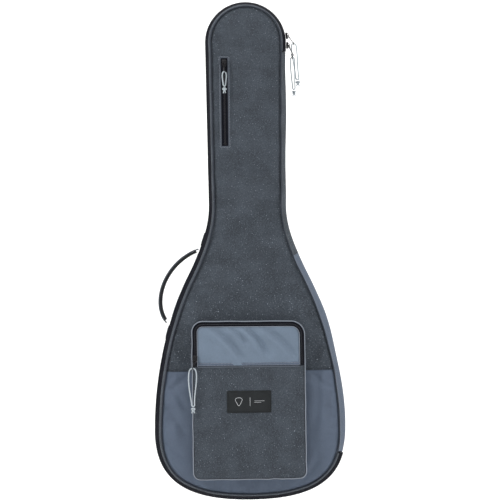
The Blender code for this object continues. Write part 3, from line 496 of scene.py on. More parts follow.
def solidFinish(name, colour, roughness, metallic=0.0, scale=500.0, depth=0.00006, spread=0.15, shine=0.5):
    made, tree, shader = blank(name, roughness, metallic)
    shader.inputs["Specular IOR Level"].default_value = shine
    place = tie(tree, "TexCoord").outputs["Object"]
    grain, cloud = noise(tree, place, scale, 3.0), noise(tree, place, 60.0, 2.0)
    shade = mixed(tree, between(tree, cloud, 0.3, 0.7), tinted(colour, 1 - spread),
        tinted(colour, 1 + spread))
    tree.links.new(between(tree, grain, 0.3, 0.7, roughness - 0.06, roughness + 0.08),
        shader.inputs["Roughness"])
    surface(tree, shader, shade, grain, 0.4, depth)
    return made


def braided(name, colour):
    made, tree, shader = blank(name, 0.85)
    uv = tie(tree, "UVMap").outputs[0]
    parts = tie(tree, "SeparateXYZ", {0: uv}).outputs
    along, around = (sums(tree, "MULTIPLY", parts[i], wholeTurn / pitch) for i,
        pitch in ((0, 0.0028), (1, 0.00204)))
    one = sums(tree, "SINE", sums(tree, "ADD", along, around))
    other = sums(tree, "SINE", sums(tree, "SUBTRACT", along, around))
    height = sums(tree, "MAXIMUM", one, other)
    # painted shade: the cord's colour is darker in the braid's grooves, following the braid height
    shade = mixed(tree, between(tree, height, -0.6, 1.0), tinted(colour, 0.62), colour)
    surface(tree, shader, shade, height, 0.8, 0.0003)
    shader.inputs["Sheen Weight"].default_value = 0.2
    return made


heather = fabric("heather", (0.0375, 0.0455, 0.0565), 0.0010, flecks=(0.140, 0.160, 0.186), mottle=0.24,
    sheen=0.03, fleckShare=(0.60, 0.78))
slate = fabric("slate", (0.074, 0.096, 0.136), 0.0007, roughness=0.62, sheen=0.04, mottle=0.07, depth=0.00008)
paleSlate = fabric("paleSlate", (0.124, 0.164, 0.218), 0.0007, roughness=0.55, sheen=0.04, mottle=0.06,
    depth=0.00008)
lining = fabric("lining", (0.030, 0.032, 0.037), 0.0014, roughness=0.97, sheen=0.5, mottle=0.2, depth=0.0002)
pipingCloth = ribbed("pipingCloth", (0.21, 0.235, 0.275), 0.0014, 0.6, lean=0.7)
darkPiping = ribbed("darkPiping", (0.085, 0.098, 0.120), 0.0014, 0.8, lean=0.7)
heatherPiping = ribbed("heatherPiping", (0.036, 0.042, 0.054), 0.0014, 0.85, lean=0.7)
tape = ribbed("tape", (0.0042, 0.0048, 0.0085), 0.0010, 0.85, lean=1.0, depth=0.00012)
coilNylon = solidFinish("coilNylon", (0.005, 0.0055, 0.009), 0.42, shine=0.25)
blackWeb = ribbed("blackWeb", (0.016, 0.017, 0.020), 0.0018, 0.8)
greyWeb = ribbed("greyWeb", (0.085, 0.095, 0.110), 0.0018, 0.75)
threadPale = ribbed("threadPale", (0.26, 0.29, 0.34), 0.0007, 0.7, lean=0.8)
threadDark = ribbed("threadDark", (0.020, 0.022, 0.027), 0.0007, 0.7, lean=0.8)
metal = solidFinish("blackMetal", (0.022, 0.022, 0.024), 0.30, 0.85)
plastic = solidFinish("blackAcetal", (0.018, 0.018, 0.020), 0.42, 0.0, 700.0)
rubber = solidFinish("rubber", (0.0125, 0.0145, 0.016), 0.7, 0.0, 1200.0, 0.00008, shine=0.2)
rubberPale = solidFinish("rubberPale", (0.50, 0.52, 0.54), 0.6, 0.0, 1200.0, 0.00006)
cordWhite = braided("cordWhite", (0.47, 0.53, 0.57))
print("materials ready")

# camera: a long lens, a little to the left of the bag and a little above its middle
view = {"target": (0.0045, 0.0, 0.5475), "away": 4.6, "azimuth": -1.0, "elevation": 1.0, "lens": 149.6,
    "roll": 0.7}
camera = bpy.data.objects.new("camera", bpy.data.cameras.new("camera"))
bpy.context.collection.objects.link(camera)
camera.data.lens, camera.data.sensor_width = view["lens"], 36.0
azimuth, elevation = (math.radians(view[k]) for k in ("azimuth", "elevation"))
direction = Vector((math.sin(azimuth) * math.cos(elevation), -math.cos(azimuth) * math.cos(elevation),
    math.sin(elevation)))
camera.location = Vector(view["target"]) + direction * view["away"]
camera.rotation_euler = (direction.to_track_quat("Z",
    "Y").to_matrix() @ Matrix.Rotation(math.radians(-view["roll"]), 3, "Z")).to_euler()
bpy.context.scene.camera = camera

# pull cords: a loop of braided cord on each pull's ring, with a knot at its foot
cords = {
    "diameter": 0.0026,
    "ringRadius": 0.0026,
    "ringWire": 0.0008,
    "knot": 0.0048,
    "tail": 0.0062,
    "long": [(-0.0004, 0.0), (-0.0034, -0.0011), (-0.0052, -0.0042), (-0.0057, -0.0100), (-0.0056, -0.0220),
             (-0.0049, -0.0360), (-0.0040, -0.0500), (-0.0031, -0.0610), (-0.0030, -0.0680), (0.0, -0.0708),
             (0.0030, -0.0680), (0.0031, -0.0610), (0.0034, -0.0500), (0.0042, -0.0360), (0.0051, -0.0220),
             (0.0056, -0.0100), (0.0052, -0.0042), (0.0034, -0.0011), (0.0004, 0.0)],
    "pocket": [(-0.0004, 0.0), (-0.0043, -0.0014), (-0.0070, -0.0052), (-0.0086, -0.0130), (-0.0092, -0.0260),
               (-0.0080, -0.0430), (-0.0055, -0.0610), (-0.0034, -0.0740), (-0.0030, -0.0800), (0.0, -0.0830),
               (0.0030, -0.0800), (0.0031, -0.0730), (0.0040, -0.0590), (0.0060, -0.0430), (0.0078, -0.0260),
               (0.0080, -0.0130), (0.0066, -0.0052), (0.0041, -0.0014), (0.0004, 0.0)],
    "short": [(-0.0004, 0.0), (-0.0034, -0.0011), (-0.0052, -0.0042), (-0.0058, -0.0100), (-0.0050, -0.0170),
              (-0.0038, -0.0240), (-0.0031, -0.0285), (0.0, -0.0318), (0.0031, -0.0285), (0.0039, -0.0235),
              (0.0050, -0.0160), (0.0057, -0.0100), (0.0052, -0.0042), (0.0034, -0.0011), (0.0004, 0.0)],
}


def pullCord(name, body, ring, route, turn, longer=1.0, drift=0.0):
    turned = math.radians(turn)
    side, cross = np.array([math.cos(turned), math.sin(turned), 0]), np.array([-math.sin(turned),
        math.cos(turned), 0])
    radius = cords["diameter"] / 2
    hang = cords["ringRadius"] - cords["ringWire"] - radius - 0.0003
    flat = np.array([(a - b * longer * drift, b * longer - hang) for a, b in cords[route]])
    points = np.array(ring) + flat[:, :1] * side + flat[:, 1:] * [0, 0, 1]
    fine = curved(points, 0.0011, True)
    count = 12
    turns = np.linspace(0, 2 * math.pi, count, endpoint=False)
    wave = radius * (1 + 0.03 * np.sin(np.arange(len(fine)) * 2.1))
    profile = wave[:, None, None] * np.stack([np.cos(turns), np.sin(turns)], -1)
    cord = piece(name + "Cord", sweep(fine, cross, profile, True), cordWhite, body, name + "_cord")
    low = flat[:, 1].min() - radius - 0.0003 - cords["knot"]
    middle = np.array(ring) + side * (-low * drift) + np.array([0, 0, low])
    t = np.linspace(0, 2 * math.pi, 90, endpoint=False)
    # a trefoil knot: two circles, one at twice the other's speed, that weave in depth three times
    size = (cords["knot"] - radius) / 3.0 * 1.12
    tref = np.stack([np.sin(t) + 2 * np.sin(2 * t), np.cos(t) - 2 * np.cos(2 * t), -np.sin(3 * t) * 1.35],
        1) * size
    knotPath = middle + tref[:, :1] * side + tref[:, 1:2] * [0, 0, 1] + tref[:, 2:] * cross
    up = np.gradient(np.gradient(np.vstack([knotPath[-2:], knotPath, knotPath[:2]]), axis=0), axis=0)[2:-2]
    parts = [sweep(knotPath, -up, circle(radius * 0.98, 10), True)]
    chance = np.random.default_rng(sum(map(ord, name)))
    for hand in (-1, 1):  # two cut ends below the knot
        foot = middle + side * hand * 0.0014 + np.array([0, 0, -cords["knot"] * 0.55])
        bend = np.array([[0, 0, 0], [hand * 0.0009, 0, -0.003], [hand * 0.0016, 0, -0.006],
            [hand * 0.0014, 0, -cords["tail"]]])
        way = foot + bend[:, :1] * side + bend[:, 2:] * [0, 0, chance.uniform(0.75, 1.0)]
        way = curved(way, 0.0009)
        wide = radius * np.interp(np.linspace(0, 1, len(way)), [0, 0.8, 1], [0.9, 0.95, 1.18])
        parts.append(sweep(way, cross, wide[:, None, None] * circle(1.0, 10)))
    knot = piece(name + "Knot", parts, cordWhite, body, name + "_knot")
    tuple(ring)


# sliders and pull tabs: each is placed on its zipper, and its tab is lifted and turned
pulls = {
    "slider": (0.0145, 0.0100, 0.0044),
    "arch": (0.0110, 0.0034, 0.0036, 0.0012),
    "tab": (0.0104, 0.0090, 0.021, 0.0018),  # eye's width and length, whole length, bar
    "upper": ((0.08862, -0.00169, 1.01924), 8.5, 26, 4, 0, 1.13, 0.10),
    "lower": ((0.08952, -0.00236, 0.99850), None, 22, -14, -30, 1.0, 0.04),
    "neck": ((-0.048, -0.03868, 0.95875), None, 16, 0, 40, 1.0, 0.0),
    "pocket": ((-0.11895, -0.0917, 0.314), None, 12, -16, 0, 1.0, 0.0),
}


def sliderFrame(place, along, out):
    along, out = Vector(along).normalized(), Vector(out).normalized()
    side = out.cross(along)
    return Matrix.Translation(place) @ Matrix((along, side, out)).transposed().to_4x4()


def moved(part, matrix):
    m = np.array(matrix)
    part["verts"] = part["verts"] @ m[:3, :3].T + m[:3, 3]
    return part


def sliderPart(matrix):
    long, wide, high = pulls["slider"]
    at = np.array([-0.5, -0.49, -0.44, -0.3, -0.05, 0.15, 0.32, 0.44, 0.49, 0.5]) * long
    halves = np.array([0.62, 0.70, 0.76, 0.80, 0.86, 0.96, 1.0, 0.94, 0.84, 0.72]) * wide / 2
    highs = np.array([0.25, 0.38, 0.46, 0.5, 0.5, 0.5, 0.5, 0.46, 0.38, 0.25]) * high
    middle = 0.0003 + high / 2
    rings = [np.stack([np.full(28, x), *(rounded(w, h, 3.4, 28).T + [[0], [middle]])], 1) for x, w,
        h in zip(at, halves, highs)]
    body = loft(rings)
    aLong, aWide, aHigh, bar = pulls["arch"]
    top = 0.0003 + high
    way = curved([(-aLong / 2 + bar / 2, 0, top - 0.0012), (-aLong / 2 + bar / 2, 0, top + aHigh * 0.35),
                  (-aLong / 4, 0, top + aHigh - bar / 2), (aLong / 4, 0, top + aHigh - bar / 2),
                  (aLong / 2 - bar / 2, 0, top + aHigh * 0.35), (aLong / 2 - bar / 2, 0,
                      top - 0.0012)], 0.0006)
    arch = sweep(way, (0, 1, 0), rounded(bar / 2, aWide / 2, 3.0, 16))
    ridge = np.array([(x, y, top - 0.0002) for x, y in ((-0.0062, -0.0028), (0.0040, -0.0036), (0.0058, 0),
        (0.0040, 0.0036), (-0.0062, 0.0028))])
    rim = sweep(curved(ridge, 0.0008), (0, 0, 1), circle(0.0004, 8))
    return [moved(p, matrix) for p in (body, arch, rim)]


def ringPart(centre, turn):
    # a wire ring that stands upright, turned about the vertical
    axis = np.array([math.cos(math.radians(turn)), math.sin(math.radians(turn)), 0])
    other = np.array([-axis[1], axis[0], 0])
    a = np.linspace(0, 2 * math.pi, 40, endpoint=False)
    way = centre + cords["ringRadius"] * (np.cos(a)[:, None] * other + np.sin(a)[:, None] * [0, 0, 1])
    return sweep(way, axis, circle(cords["ringWire"], 10), True)


def tabPart(matrix, lean, skew, turn):
    wide, long, whole, bar = pulls["tab"]
    height = 0.0003 + pulls["slider"][2] + (pulls["arch"][2] - pulls["arch"][3]) / 2
    pose = matrix @ Matrix.Translation((0, 0, height)) @ Matrix.Rotation(math.radians(skew), 4,
        "Z") @ Matrix.Rotation(math.radians(lean), 4, "Y")
    h, w = bar / 2, wide / 2 - bar / 2
    eye = curved([(0, w - 0.001, 0), (0, 0, 0), (0, -w + 0.001, 0), (-0.0012, -w, 0),
        (-long * 0.55, -w * 0.9, 0),
                  (-long + 0.0012, -0.0026, 0), (-long + h, 0, 0), (-long + 0.0012, 0.0026,
                      0), (-long * 0.55, w * 0.9, 0), (-0.0012, w, 0)], 0.0007, True)
    parts = [moved(sweep(eye, (0, 0, 1), circle(h, 10), True), pose)]
    stem = np.linspace(-long + h, -whole + 0.75 * cords["ringRadius"], 12)
    halves = np.interp(np.linspace(0, 1, 12), [0, 0.3, 0.75, 1], [0.0012, 0.0021, 0.0019, 0.0013])
    rings = [np.stack([np.full(16, x), *rounded(a, h * 0.95, 2.8, 16).T], 1) for x, a in zip(stem, halves)]
    parts.append(moved(loft(rings), pose))
    middle = pose @ Vector((-whole, 0, 0))
    parts.append(ringPart(np.array(middle), turn))
    return parts, middle


def swivelPart(ring, through, turn):
    parts = []
    for k, angle in enumerate((through, turn)):
        centre = np.array(ring) - [0, 0, cords["ringRadius"] * (1 + 2 * k)]
        parts.append(ringPart(centre, angle))
    return parts, Vector(centre)


def pull(key, name, along, out, sliderBody, tabBody, cordBody, route):
    place, _, lean, skew, turn, longer, drift = pulls[key]
    matrix = sliderFrame(Vector(place), along, out)
    piece(name + "Slider", sliderPart(matrix), metal, sliderBody, name + "_slider", 60)
    parts, ring = tabPart(matrix, lean, skew, 0 if name.startswith("main") else turn)
    piece(name + "Tab", parts, metal, tabBody, name + "_tab", 60)
    if key == "lower":
        parts, ring = swivelPart(ring, 90, turn)
        piece(name + "Link", parts, metal, cordBody, name + "_swivel", 60)
    pullCord(name, cordBody, ring, route, turn, longer, drift)


lean = bag["lean"]
tilt = math.radians(pulls["upper"][1])
neckEdge = (bag["headRadius"] - bag["waist"][0]) / (bag["length"] - bag["headRadius"] - bag["waist"][1])
pull("upper", "main_upper", (-math.sin(tilt), lean * math.cos(tilt), math.cos(tilt)),
    (math.cos(tilt), 0, math.sin(tilt)),
     "main_upper_slider", "main_upper_tab", "main_upper_pull", "long")
pull("lower", "main_lower", (neckEdge, lean, 1), (1, 0, -neckEdge), "bag_back", "main_lower_tab",
    "main_lower_pull", "long")
pull("neck", "neck", (0, lean, 1), (0, -1, lean), "neck_slider", "neck_tab", "neck_pull", "short")
pull("pocket", "pocket", (0, lean, 1), (0, -1, lean), "pocket_slider", "pocket_tab", "pocket_pull", "pocket")
print("pulls and cords ready")


# the shell: cloth, tape and tube beside the outline, given by depth behind the front and way outward
def beside(distance, depth, outwards, read=onRing):
    point, out = read(np.asarray(distance, float))
    depth, outwards = np.broadcast_arrays(np.asarray(depth, float), np.asarray(outwards, float))
    if depth.ndim == 1:
        depth, outwards = depth[None], outwards[None]
    xz = point[:, None] + out[:, None] * outwards[..., None]
    return np.stack([xz[..., 0], front(xz[..., 1]) + depth, xz[..., 1]], -1)


def wallStrip(distance, depth, outwards, thick, closed=False, read=onRing):
    outer = beside(distance, depth, outwards, read)
    inner = beside(distance, depth, outwards - thick, read)
    return loft(np.concatenate([outer, inner[:, ::-1]], 1), closed, strip=not closed)


def linedInside(part, count):
    # a wall strip with count points in each ring takes the piece's second material on its inner half
    quads, uvs = part["faces"][0], part["uvs"][0]
    inner = (quads % count).min(1) >= count // 2
    part["faces"] = [quads[~inner], quads[inner], *part["faces"][1:]]
    part["uvs"] = [uvs[~inner], uvs[inner], *part["uvs"][1:]]
    part["kinds"] = [0, 1] + [0] * (len(part["faces"]) - 2)
    return part


def ribs(distance, depth, outwards, half, pitch, read=onRing, power=2.4):
    # a zipper's coil: a rounded bar that swells once for each tooth
    profile = rounded(half[0], half[1], power, 10)
    wave = np.sin(wholeTurn * distance / pitch)
    swell = 1 + 0.16 * np.sign(wave) * np.abs(wave) ** 0.6
    return loft(beside(distance, depth + profile[:, 0] * swell[:, None],
        outwards + profile[:, 1] * swell[:, None], read))


def ringTube(distance, depth, outwards, radius, read=onRing, closed=True, count=12):
    a = np.linspace(0, 2 * math.pi, count, endpoint=False)
    rings = beside(distance, depth + radius * np.cos(a), outwards + radius * np.sin(a), read)
    return loft(rings, closed)


shell = {
    "bandDepth": 0.018,
    "bandSeam": 0.0155,
    "tapeEnd": 0.0315,
    "frontCoil": 0.03265,
    "rearCoil": 0.03505,
    "rearTape": (0.0362, 0.0470),
    "backInset": 0.006,
    "piping": 0.0022,
    "tooth": 0.0019,
    "coil": (0.00112, 0.00125),
    "tape": 0.0011,
    "frontPiping": 0.0014,
    "hinge": (0.004, 0.034),  # depths given for a blend between cover and back, which nothing applies
}
zipRun = np.arange(sTop + 0.0025, ringLength + sFoot - 0.0025, 0.004)
zipFine = np.arange(sTop + 0.0030, ringLength + sFoot - 0.0030, shell["tooth"] / 4)
zipZ = onRing(zipRun)[0][:, 1]
zipInset = edgeInset(zipZ)[:, None]
allRun = np.arange(0, ringLength - 0.002, 0.004)
allInset = edgeInset(onRing(allRun)[0][:, 1])[:, None]

t = np.linspace(0, 1, 9)
bandOut = -zipInset * (1 - t * 0.42) + 0.0016 * np.sin(math.pi * t) + ripple(zipRun[:, None], t * 0.02, 3,
    0.0005, 0.09) * np.sin(math.pi * t)
band = wallStrip(zipRun, t * shell["bandDepth"], bandOut, bag["cloth"])
seamLine = beside(zipRun, shell["bandSeam"], -zipInset * 0.64)[:, 0]
seamOut = beside(zipRun, shell["bandSeam"], -zipInset * 0.64 + 0.01)[:, 0] - seamLine
piece("frontBand", [band, kind(stitches(seamLine, seamOut, lift=0.0009), 1)], [heather, threadDark],
    "cover", "front_side_band")

t = np.linspace(0, 1, 5)
frontTape = wallStrip(zipRun, shell["bandDepth"] - 0.0006 + t * (shell["tapeEnd"] - shell["bandDepth"]),
    -zipInset * 0.58 * (1 - t) - 0.0003, shell["tape"])
piece("frontZipperTape", frontTape, tape, "cover", "main_zipper_tape_front")
piece("frontZipperCoil", ribs(zipFine, shell["frontCoil"], 0.0002, shell["coil"], shell["tooth"]),
    coilNylon, "cover",
      "main_zipper_coil_front", 80)
rearTape = wallStrip(zipRun, shell["rearTape"][0] + t * (shell["rearTape"][1] - shell["rearTape"][0]),
    -0.0003 + 0 * zipInset * t, shell["tape"])
piece("rearZipperTape", rearTape, tape, "bag_back", "main_zipper_tape_rear")
piece("rearZipperCoil", ribs(zipFine + shell["tooth"] / 2, shell["rearCoil"], 0.0002, shell["coil"],
    shell["tooth"]), coilNylon, "bag_back",
      "main_zipper_coil_rear", 80)


def gusset(low, high, start, seed, rolled=False):
    # the side wall between two places round the outline, from a depth to the back: a little full, rolled in
    # at its edges
    run = np.linspace(low, high, max(4, int((high - low) / 0.005)))
    z = onRing(run)[0][:, 1:2]
    t = np.linspace(0, 1, 26)
    depth = start + (wholeDepth(z) - start) * t
    outwards = 0.0010 * np.sin(math.pi * t) - shell["backInset"] * smooth(t, 0.84, 1.0) ** 1.5
    if rolled:  # no zipper here: the front edge rolls in to the front panel
        outwards = outwards - edgeInset(z) * (1 - smooth(depth, 0.0, 0.036)) * 0.92
    outwards = outwards + ripple(run[:, None], depth, seed, 0.0011, 0.13) * np.sin(math.pi * t) ** 0.5
    return wallStrip(run, depth, outwards, bag["cloth"])


sTone = ringAtHeight(bag["sideTone"])
start = shell["rearTape"][1] - 0.0004
parts = [gusset(sTop + 0.0025, ringLength - sTone, start, 11),
    kind(gusset(ringLength - sTone + 0.0004, ringLength + sFoot - 0.0025, start, 12), 1)]
seamPath = beside(zipRun, start + 0.003, 0.0006 + 0 * zipInset)[:, 0]
seamUp = beside(zipRun, start + 0.003, 0.01 + 0 * zipInset)[:, 0] - seamPath
piece("zipperSideGusset", [*parts, kind(stitches(seamPath, seamUp), 2)], [heather, slate, threadDark],
    "bag_back", "zipper_side_gusset")
hingeBlend = ("cover", "bag_back", *[(bag["widest"][0], float(front(0.5)) + depth,
    0.5) for depth in shell["hinge"]])
piece("hingeGussetBody", linedInside(gusset(sFoot, sTone - 0.0004, 0.0012, 13, True), 52), [slate, lining],
    hingeBlend, "hinge_side_gusset")
piece("hingeGussetHead", linedInside(gusset(sTone, sTop, 0.0012, 14, True), 52), [heather, lining],
    hingeBlend, "hinge_side_gusset")

wavy = ripple(allRun, allRun * 0, 21, 0.00045, 0.06)[:, None]
frontPipe = ringTube(allRun, -0.0004 + 0.6 * wavy, -allInset + wavy, shell["frontPiping"])
piece("frontPiping", frontPipe, heatherPiping, "cover", "front_piping")
backPipe = ringTube(allRun, (wholeDepth(onRing(allRun)[0][:, 1]) + 0.0012)[:, None],
    -shell["backInset"] + wavy, shell["piping"])
piece("backPiping", backPipe, darkPiping, "bag_back", "back_piping")


# panels: rows run from the outline's edge in to a line up the middle, so the edge is followed exactly
def panelRows(inset, zLow, zHigh, rows):
    s = np.linspace(0, ringLength / 2, 2400)
    point, out = onRing(s)
    edge = point - out * (inset(point[:, 1])[:, None] if callable(inset) else inset)
    low, high = (float(np.interp(z, edge[:, 1], s)) if z is not None else d for z,
        d in ((zLow, 0.0), (zHigh, ringLength / 2)))
    at = np.linspace(low, high, rows)
    edge = np.stack([np.interp(at, s, edge[:, i]) for i in (0, 1)], 1)
    edge[:, 0] = np.where((at <= 0) | (at >= ringLength / 2), 0, edge[:, 0])
    return at, edge


def panelGrid(inset, zLow, zHigh, rows, columns, face):
    at, edge = panelRows(inset, zLow, zHigh, rows)
    t = np.linspace(-1, 1, columns)
    u = np.sign(t) * (0.45 * np.abs(t) + 0.55 * np.sin(np.abs(t) * math.pi / 2))
    core = np.clip(edge[:, 1], 0.128, bag["length"] - bag["headRadius"] - 0.012)
    x = edge[:, :1] * u
    z = edge[:, 1:] * np.abs(u) + core[:, None] * (1 - np.abs(u))
    toEdge = (1 - np.abs(u)) * np.hypot(edge[:, 0], edge[:, 1] - core)[:, None]
    return at, t, np.stack([x, face(x, z, toEdge), z], -1)


def rolledEdge(toEdge, radius, drop):
    near = np.clip(1 - toEdge / radius, 0, 1)
    return drop * (1 - np.sqrt(1 - near**2))


def facing(part, way):
    # turns an open sheet's faces towards a direction
    f, p = part["faces"][0], part["verts"]
    normal = np.cross(p[f[:, 1]] - p[f[:, 0]], p[f[:, 3]] - p[f[:, 0]]).sum(0)
    if normal @ np.array(way) < 0:
        part["faces"] = [g[:, ::-1] for g in part["faces"]]
        part["uvs"] = [g[:, ::-1] for g in part["uvs"]]
    return part


def settle(part, held, pressure, grow, frames=20):
    # cloth simulation: held at some points and blown out a little; gives how far each point moved
    still = np.zeros_like(part["verts"])
    mesh = meshOf("settling", together(part))
    obj = bpy.data.objects.new("settling", mesh)
    bpy.context.collection.objects.link(obj)
    obj.vertex_groups.new(name="held").add([int(i) for i in held], 1.0, "REPLACE")
    cloth = obj.modifiers.new("cloth", "CLOTH")
    rules = cloth.settings
    rules.vertex_group_mass, rules.use_pressure, rules.uniform_pressure_force = "held", True, pressure
    rules.mass, rules.quality, rules.shrink_min = 0.3, 5, -grow
    rules.tension_stiffness = rules.compression_stiffness = 18
    rules.bending_stiffness = 1.5
    rules.effector_weights.gravity = 0
    cloth.point_cache.frame_start, cloth.point_cache.frame_end = 1, frames
    scene = bpy.context.scene
    for frame in range(1, frames + 1):
        scene.frame_set(frame)
    shown = obj.evaluated_get(bpy.context.evaluated_depsgraph_get()).to_mesh()
    got = np.empty(len(still) * 3, np.float32)
    shown.vertices.foreach_get("co", got)
    scene.frame_set(1)
    bpy.data.objects.remove(obj)
    bpy.data.meshes.remove(mesh)
    return got.reshape(-1, 3) - part["verts"]


padding = {"swell": (0.0042, 0.0012), "roll": (0.010, 0.0050), "grow": 0.012, "pressure": 1.5, "most": 0.006}


def swelling(z):
    return padding["swell"][0] + (padding["swell"][1] - padding["swell"][0]) * smooth(z, 0.50, 0.72)


def frontFace(x, z, toEdge):
    return front(z) + rolledEdge(toEdge,
        *padding["roll"]) - swelling(z) * (1 - np.exp(-toEdge / 0.035)) + 0.0008


def backFace(x, z, toEdge):
    return bag["backY"] - rolledEdge(toEdge, 0.008, 0.0035) + 0.0022 * (1 - np.exp(-toEdge / 0.03)) - 0.0006


settled = {}
for side, inset, face, way in (("front", edgeInset, frontFace, (0, -1, 0)),
    ("back", shell["backInset"], backFace, (0, 1, 0))):
    at, cols, points = panelGrid(inset, None, None, 170, 47, face)
    loose = grid(points)
    _, back = np.unique(np.round(points.reshape(-1, 3), 6), axis=0, return_inverse=True)
    whole = facing(weld(dict(loose)), way)
    rim = np.zeros(points.shape[:2], bool)
    rim[:, [0, 1, -2, -1]] = True
    rim |= np.abs(points[..., 2] - bag["twoTone"]) < 0.004  # the seam between the two cloths
    held = np.unique(back.ravel()[np.nonzero(rim.ravel())[0]])
    shift = settle(whole, held, padding["pressure"], padding["grow"])
    settled[side] = (at, cols, np.clip(shift[back.ravel()], -padding["most"],
        padding["most"]).reshape(points.shape))
    print(side, "panel settled, moved up to", round(float(np.abs(shift).max()) * 1000, 1), "mm")


def settledAt(side, at, cols):
    rows, columns, shift = settled[side]
    out = np.empty((len(at), len(cols), 3))
    for k in range(3):
        wide = np.stack([np.interp(cols, columns, row) for row in shift[..., k]])
        out[..., k] = np.stack([np.interp(at, rows, wide[:, j]) for j in range(len(cols))], 1)
    return out


neckZip = {"x": -0.048, "width": 0.016, "foot": 0.776, "top": 0.970, "tooth": 0.0016, "apart": 0.00104,
    "coil": (0.00098, 0.0009)}


def slotMask(x, z, grow=0.0):
    inX = 1 - smooth(np.abs(x - neckZip["x"]), neckZip["width"] / 2 - 0.001 + grow,
        neckZip["width"] / 2 + 0.0025 + grow)
    inZ = smooth(z, neckZip["foot"] - 0.003 - grow,
        neckZip["foot"] + 0.001) * (1 - smooth(z, neckZip["top"] - 0.001, neckZip["top"] + 0.003 + grow))
    return inX * inZ


def folds(x, z, creases):
    # soft valleys, each with a low ridge beside it, between two points on the front
    total = 0 * x
    for (x0, z0), (x1, z1), wide, deep in creases:
        dx, dz = x1 - x0, z1 - z0
        long = math.hypot(dx, dz)
        along = ((x - x0) * dx + (z - z0) * dz) / long**2
        off = ((x - x0) * dz - (z - z0) * dx) / long + 0.05 * long * np.sin(math.pi * np.clip(along, 0, 1))
        fade = smooth(along, -0.2, 0.2) * (1 - smooth(along, 0.75, 1.2))
        ridge = 0.6 * np.exp(-(((off - 1.9 * wide) / (wide * 1.4)) ** 2))
        total = total + fade * deep * (np.exp(-((off / wide) ** 2)) - ridge)
    return total


slack = (((-0.190, 0.262), (-0.140, 0.205), 0.007, 0.0030),
    ((-0.198, 0.215), (-0.142, 0.150), 0.010, 0.0032), ((-0.196, 0.130), (-0.145, 0.098), 0.008, 0.0026),
         ((0.146, 0.275), (0.142, 0.165), 0.009, 0.0026), ((0.176, 0.268), (0.166, 0.130), 0.011,
             0.0030), ((0.150, 0.100), (0.110, 0.045), 0.008, 0.0022),
         ((-0.120, 0.430), (-0.060, 0.410), 0.012, 0.0016), ((0.060, 0.640), (-0.020, 0.590), 0.016,
             0.0020), ((-0.070, 0.560), (0.010, 0.520), 0.018, 0.0020))


def clothPanel(name, side, inset, face, zLow, zHigh, rows, columns, material, body, node, way, seamAt,
    seed):
    at, cols, points = panelGrid(inset, zLow, zHigh, rows, columns, face)
    x, z = points[..., 0], points[..., 2]
    mask = 1 - slotMask(x, z, 0.010) if side == "front" else 1.0
    neckHold = 1 - 0.6 * smooth(z, 0.55, 0.75)
    shift = settledAt(side, at, cols) * (mask * neckHold)[..., None]
    edgeHold = 1 - np.abs(cols) ** 10
    points = points + shift
    points[..., 1] += -way[1] * ripple(x, z, seed, 0.0009, 0.16) * edgeHold * mask * neckHold
    if side == "front":
        points[..., 1] += 0.0030 * slotMask(x, z) + folds(x, z, slack) * edgeHold
        points[..., 1] -= 0.0006 * np.exp(-(((z - bag["twoTone"]) / 0.0022) ** 2)) * (1 if seamAt else 0)
    obj = piece(name, facing(weld(grid(points)), way), material, body, node, 60)
    thicken(obj, bag["cloth"])
    if seamAt:
        line = points[0, 2:-2] + np.array([0, way[1] * 0.0007, seamAt])
        piece(name + "Seam", stitches(line, np.array(way, float)), threadDark, body)


tone = bag["twoTone"]
cloth = {"front": (edgeInset, frontFace, "cover", (0, -1, 0)),
    "back": (shell["backInset"], backFace, "bag_back", (0, 1, 0))}
for side, (inset, face, body, way) in cloth.items():
    clothPanel(side + "PanelUpper", side, inset, face, tone, None, 330, 111, heather, body,
        side + "_panel_upper", way, 0.0032, 31)
    clothPanel(side + "PanelLower", side, inset, face, None, tone - 0.0004, 150, 111, slate, body,
        side + "_panel_lower", way, 0, 31)
print("shell and panels ready")

# inside: foam under soft lining on the front, the back and the sides, and the neck's rest
inside = {"wall": 0.0146, "side": 0.0138, "rim": 0.0362}


def linedFace(x, z, toEdge):
    return front(z) + inside["wall"] - 0.0012 + 0.0016 * (1 - np.exp(-toEdge / 0.03)) - rolledEdge(toEdge,
        0.012, 0.006)


def linedBack(x, z, toEdge):
    return bag["backY"] - inside["wall"] + 0.0010 - 0.0014 * (1 - np.exp(-toEdge / 0.03))


for name, face, inset, way, body, nodes, thick in (
    ("frontPadding", linedFace, lambda z: edgeInset(z) + 0.0035, (0, 1, 0), "cover",
        ("front_foam", "front_lining"), 0.0085),
    ("backPadding", linedBack, lambda z: 0.0152 + 0 * z, (0, -1, 0), "bag_back",
        ("back_foam", "back_lining"), 0.0105),
):
    _, _, points = panelGrid(inset, None, None, 220, 61, face)
    points[..., 1] += ripple(points[..., 0], points[..., 2], 41, 0.0006, 0.12)
    obj = piece(name, facing(weld(grid(points)), way), lining, body, nodes, 60)
    thicken(obj, thick)
z = onRing(allRun)[0][:, 1:2]
low, high = inside["rim"] + 0.0006, wholeDepth(z) - inside["wall"] - 0.0004
a = np.linspace(0, 2 * math.pi, 40, endpoint=False)
bend = lambda v, p: np.sign(v) * np.abs(v) ** p
depth = (low + high) / 2 + (high - low) / 2 * bend(np.cos(a), 0.25)
inner, outer = -inside["side"] - 0.0004, -0.0024
outwards = (inner + outer) / 2 + (outer - inner) / 2 * bend(np.sin(a), 0.4) + ripple(allRun[:, None], depth,
    43, 0.0005, 0.1) * (np.sin(a) < 0)
outwards = outwards - 0.0045 * smooth(depth, wholeDepth(z) - 0.034, wholeDepth(z) - 0.014) * (np.sin(a) > 0)
piece("sidePadding", loft(beside(allRun, depth, outwards), True), lining, "bag_back",
    ("side_foam", "side_lining"), 60)

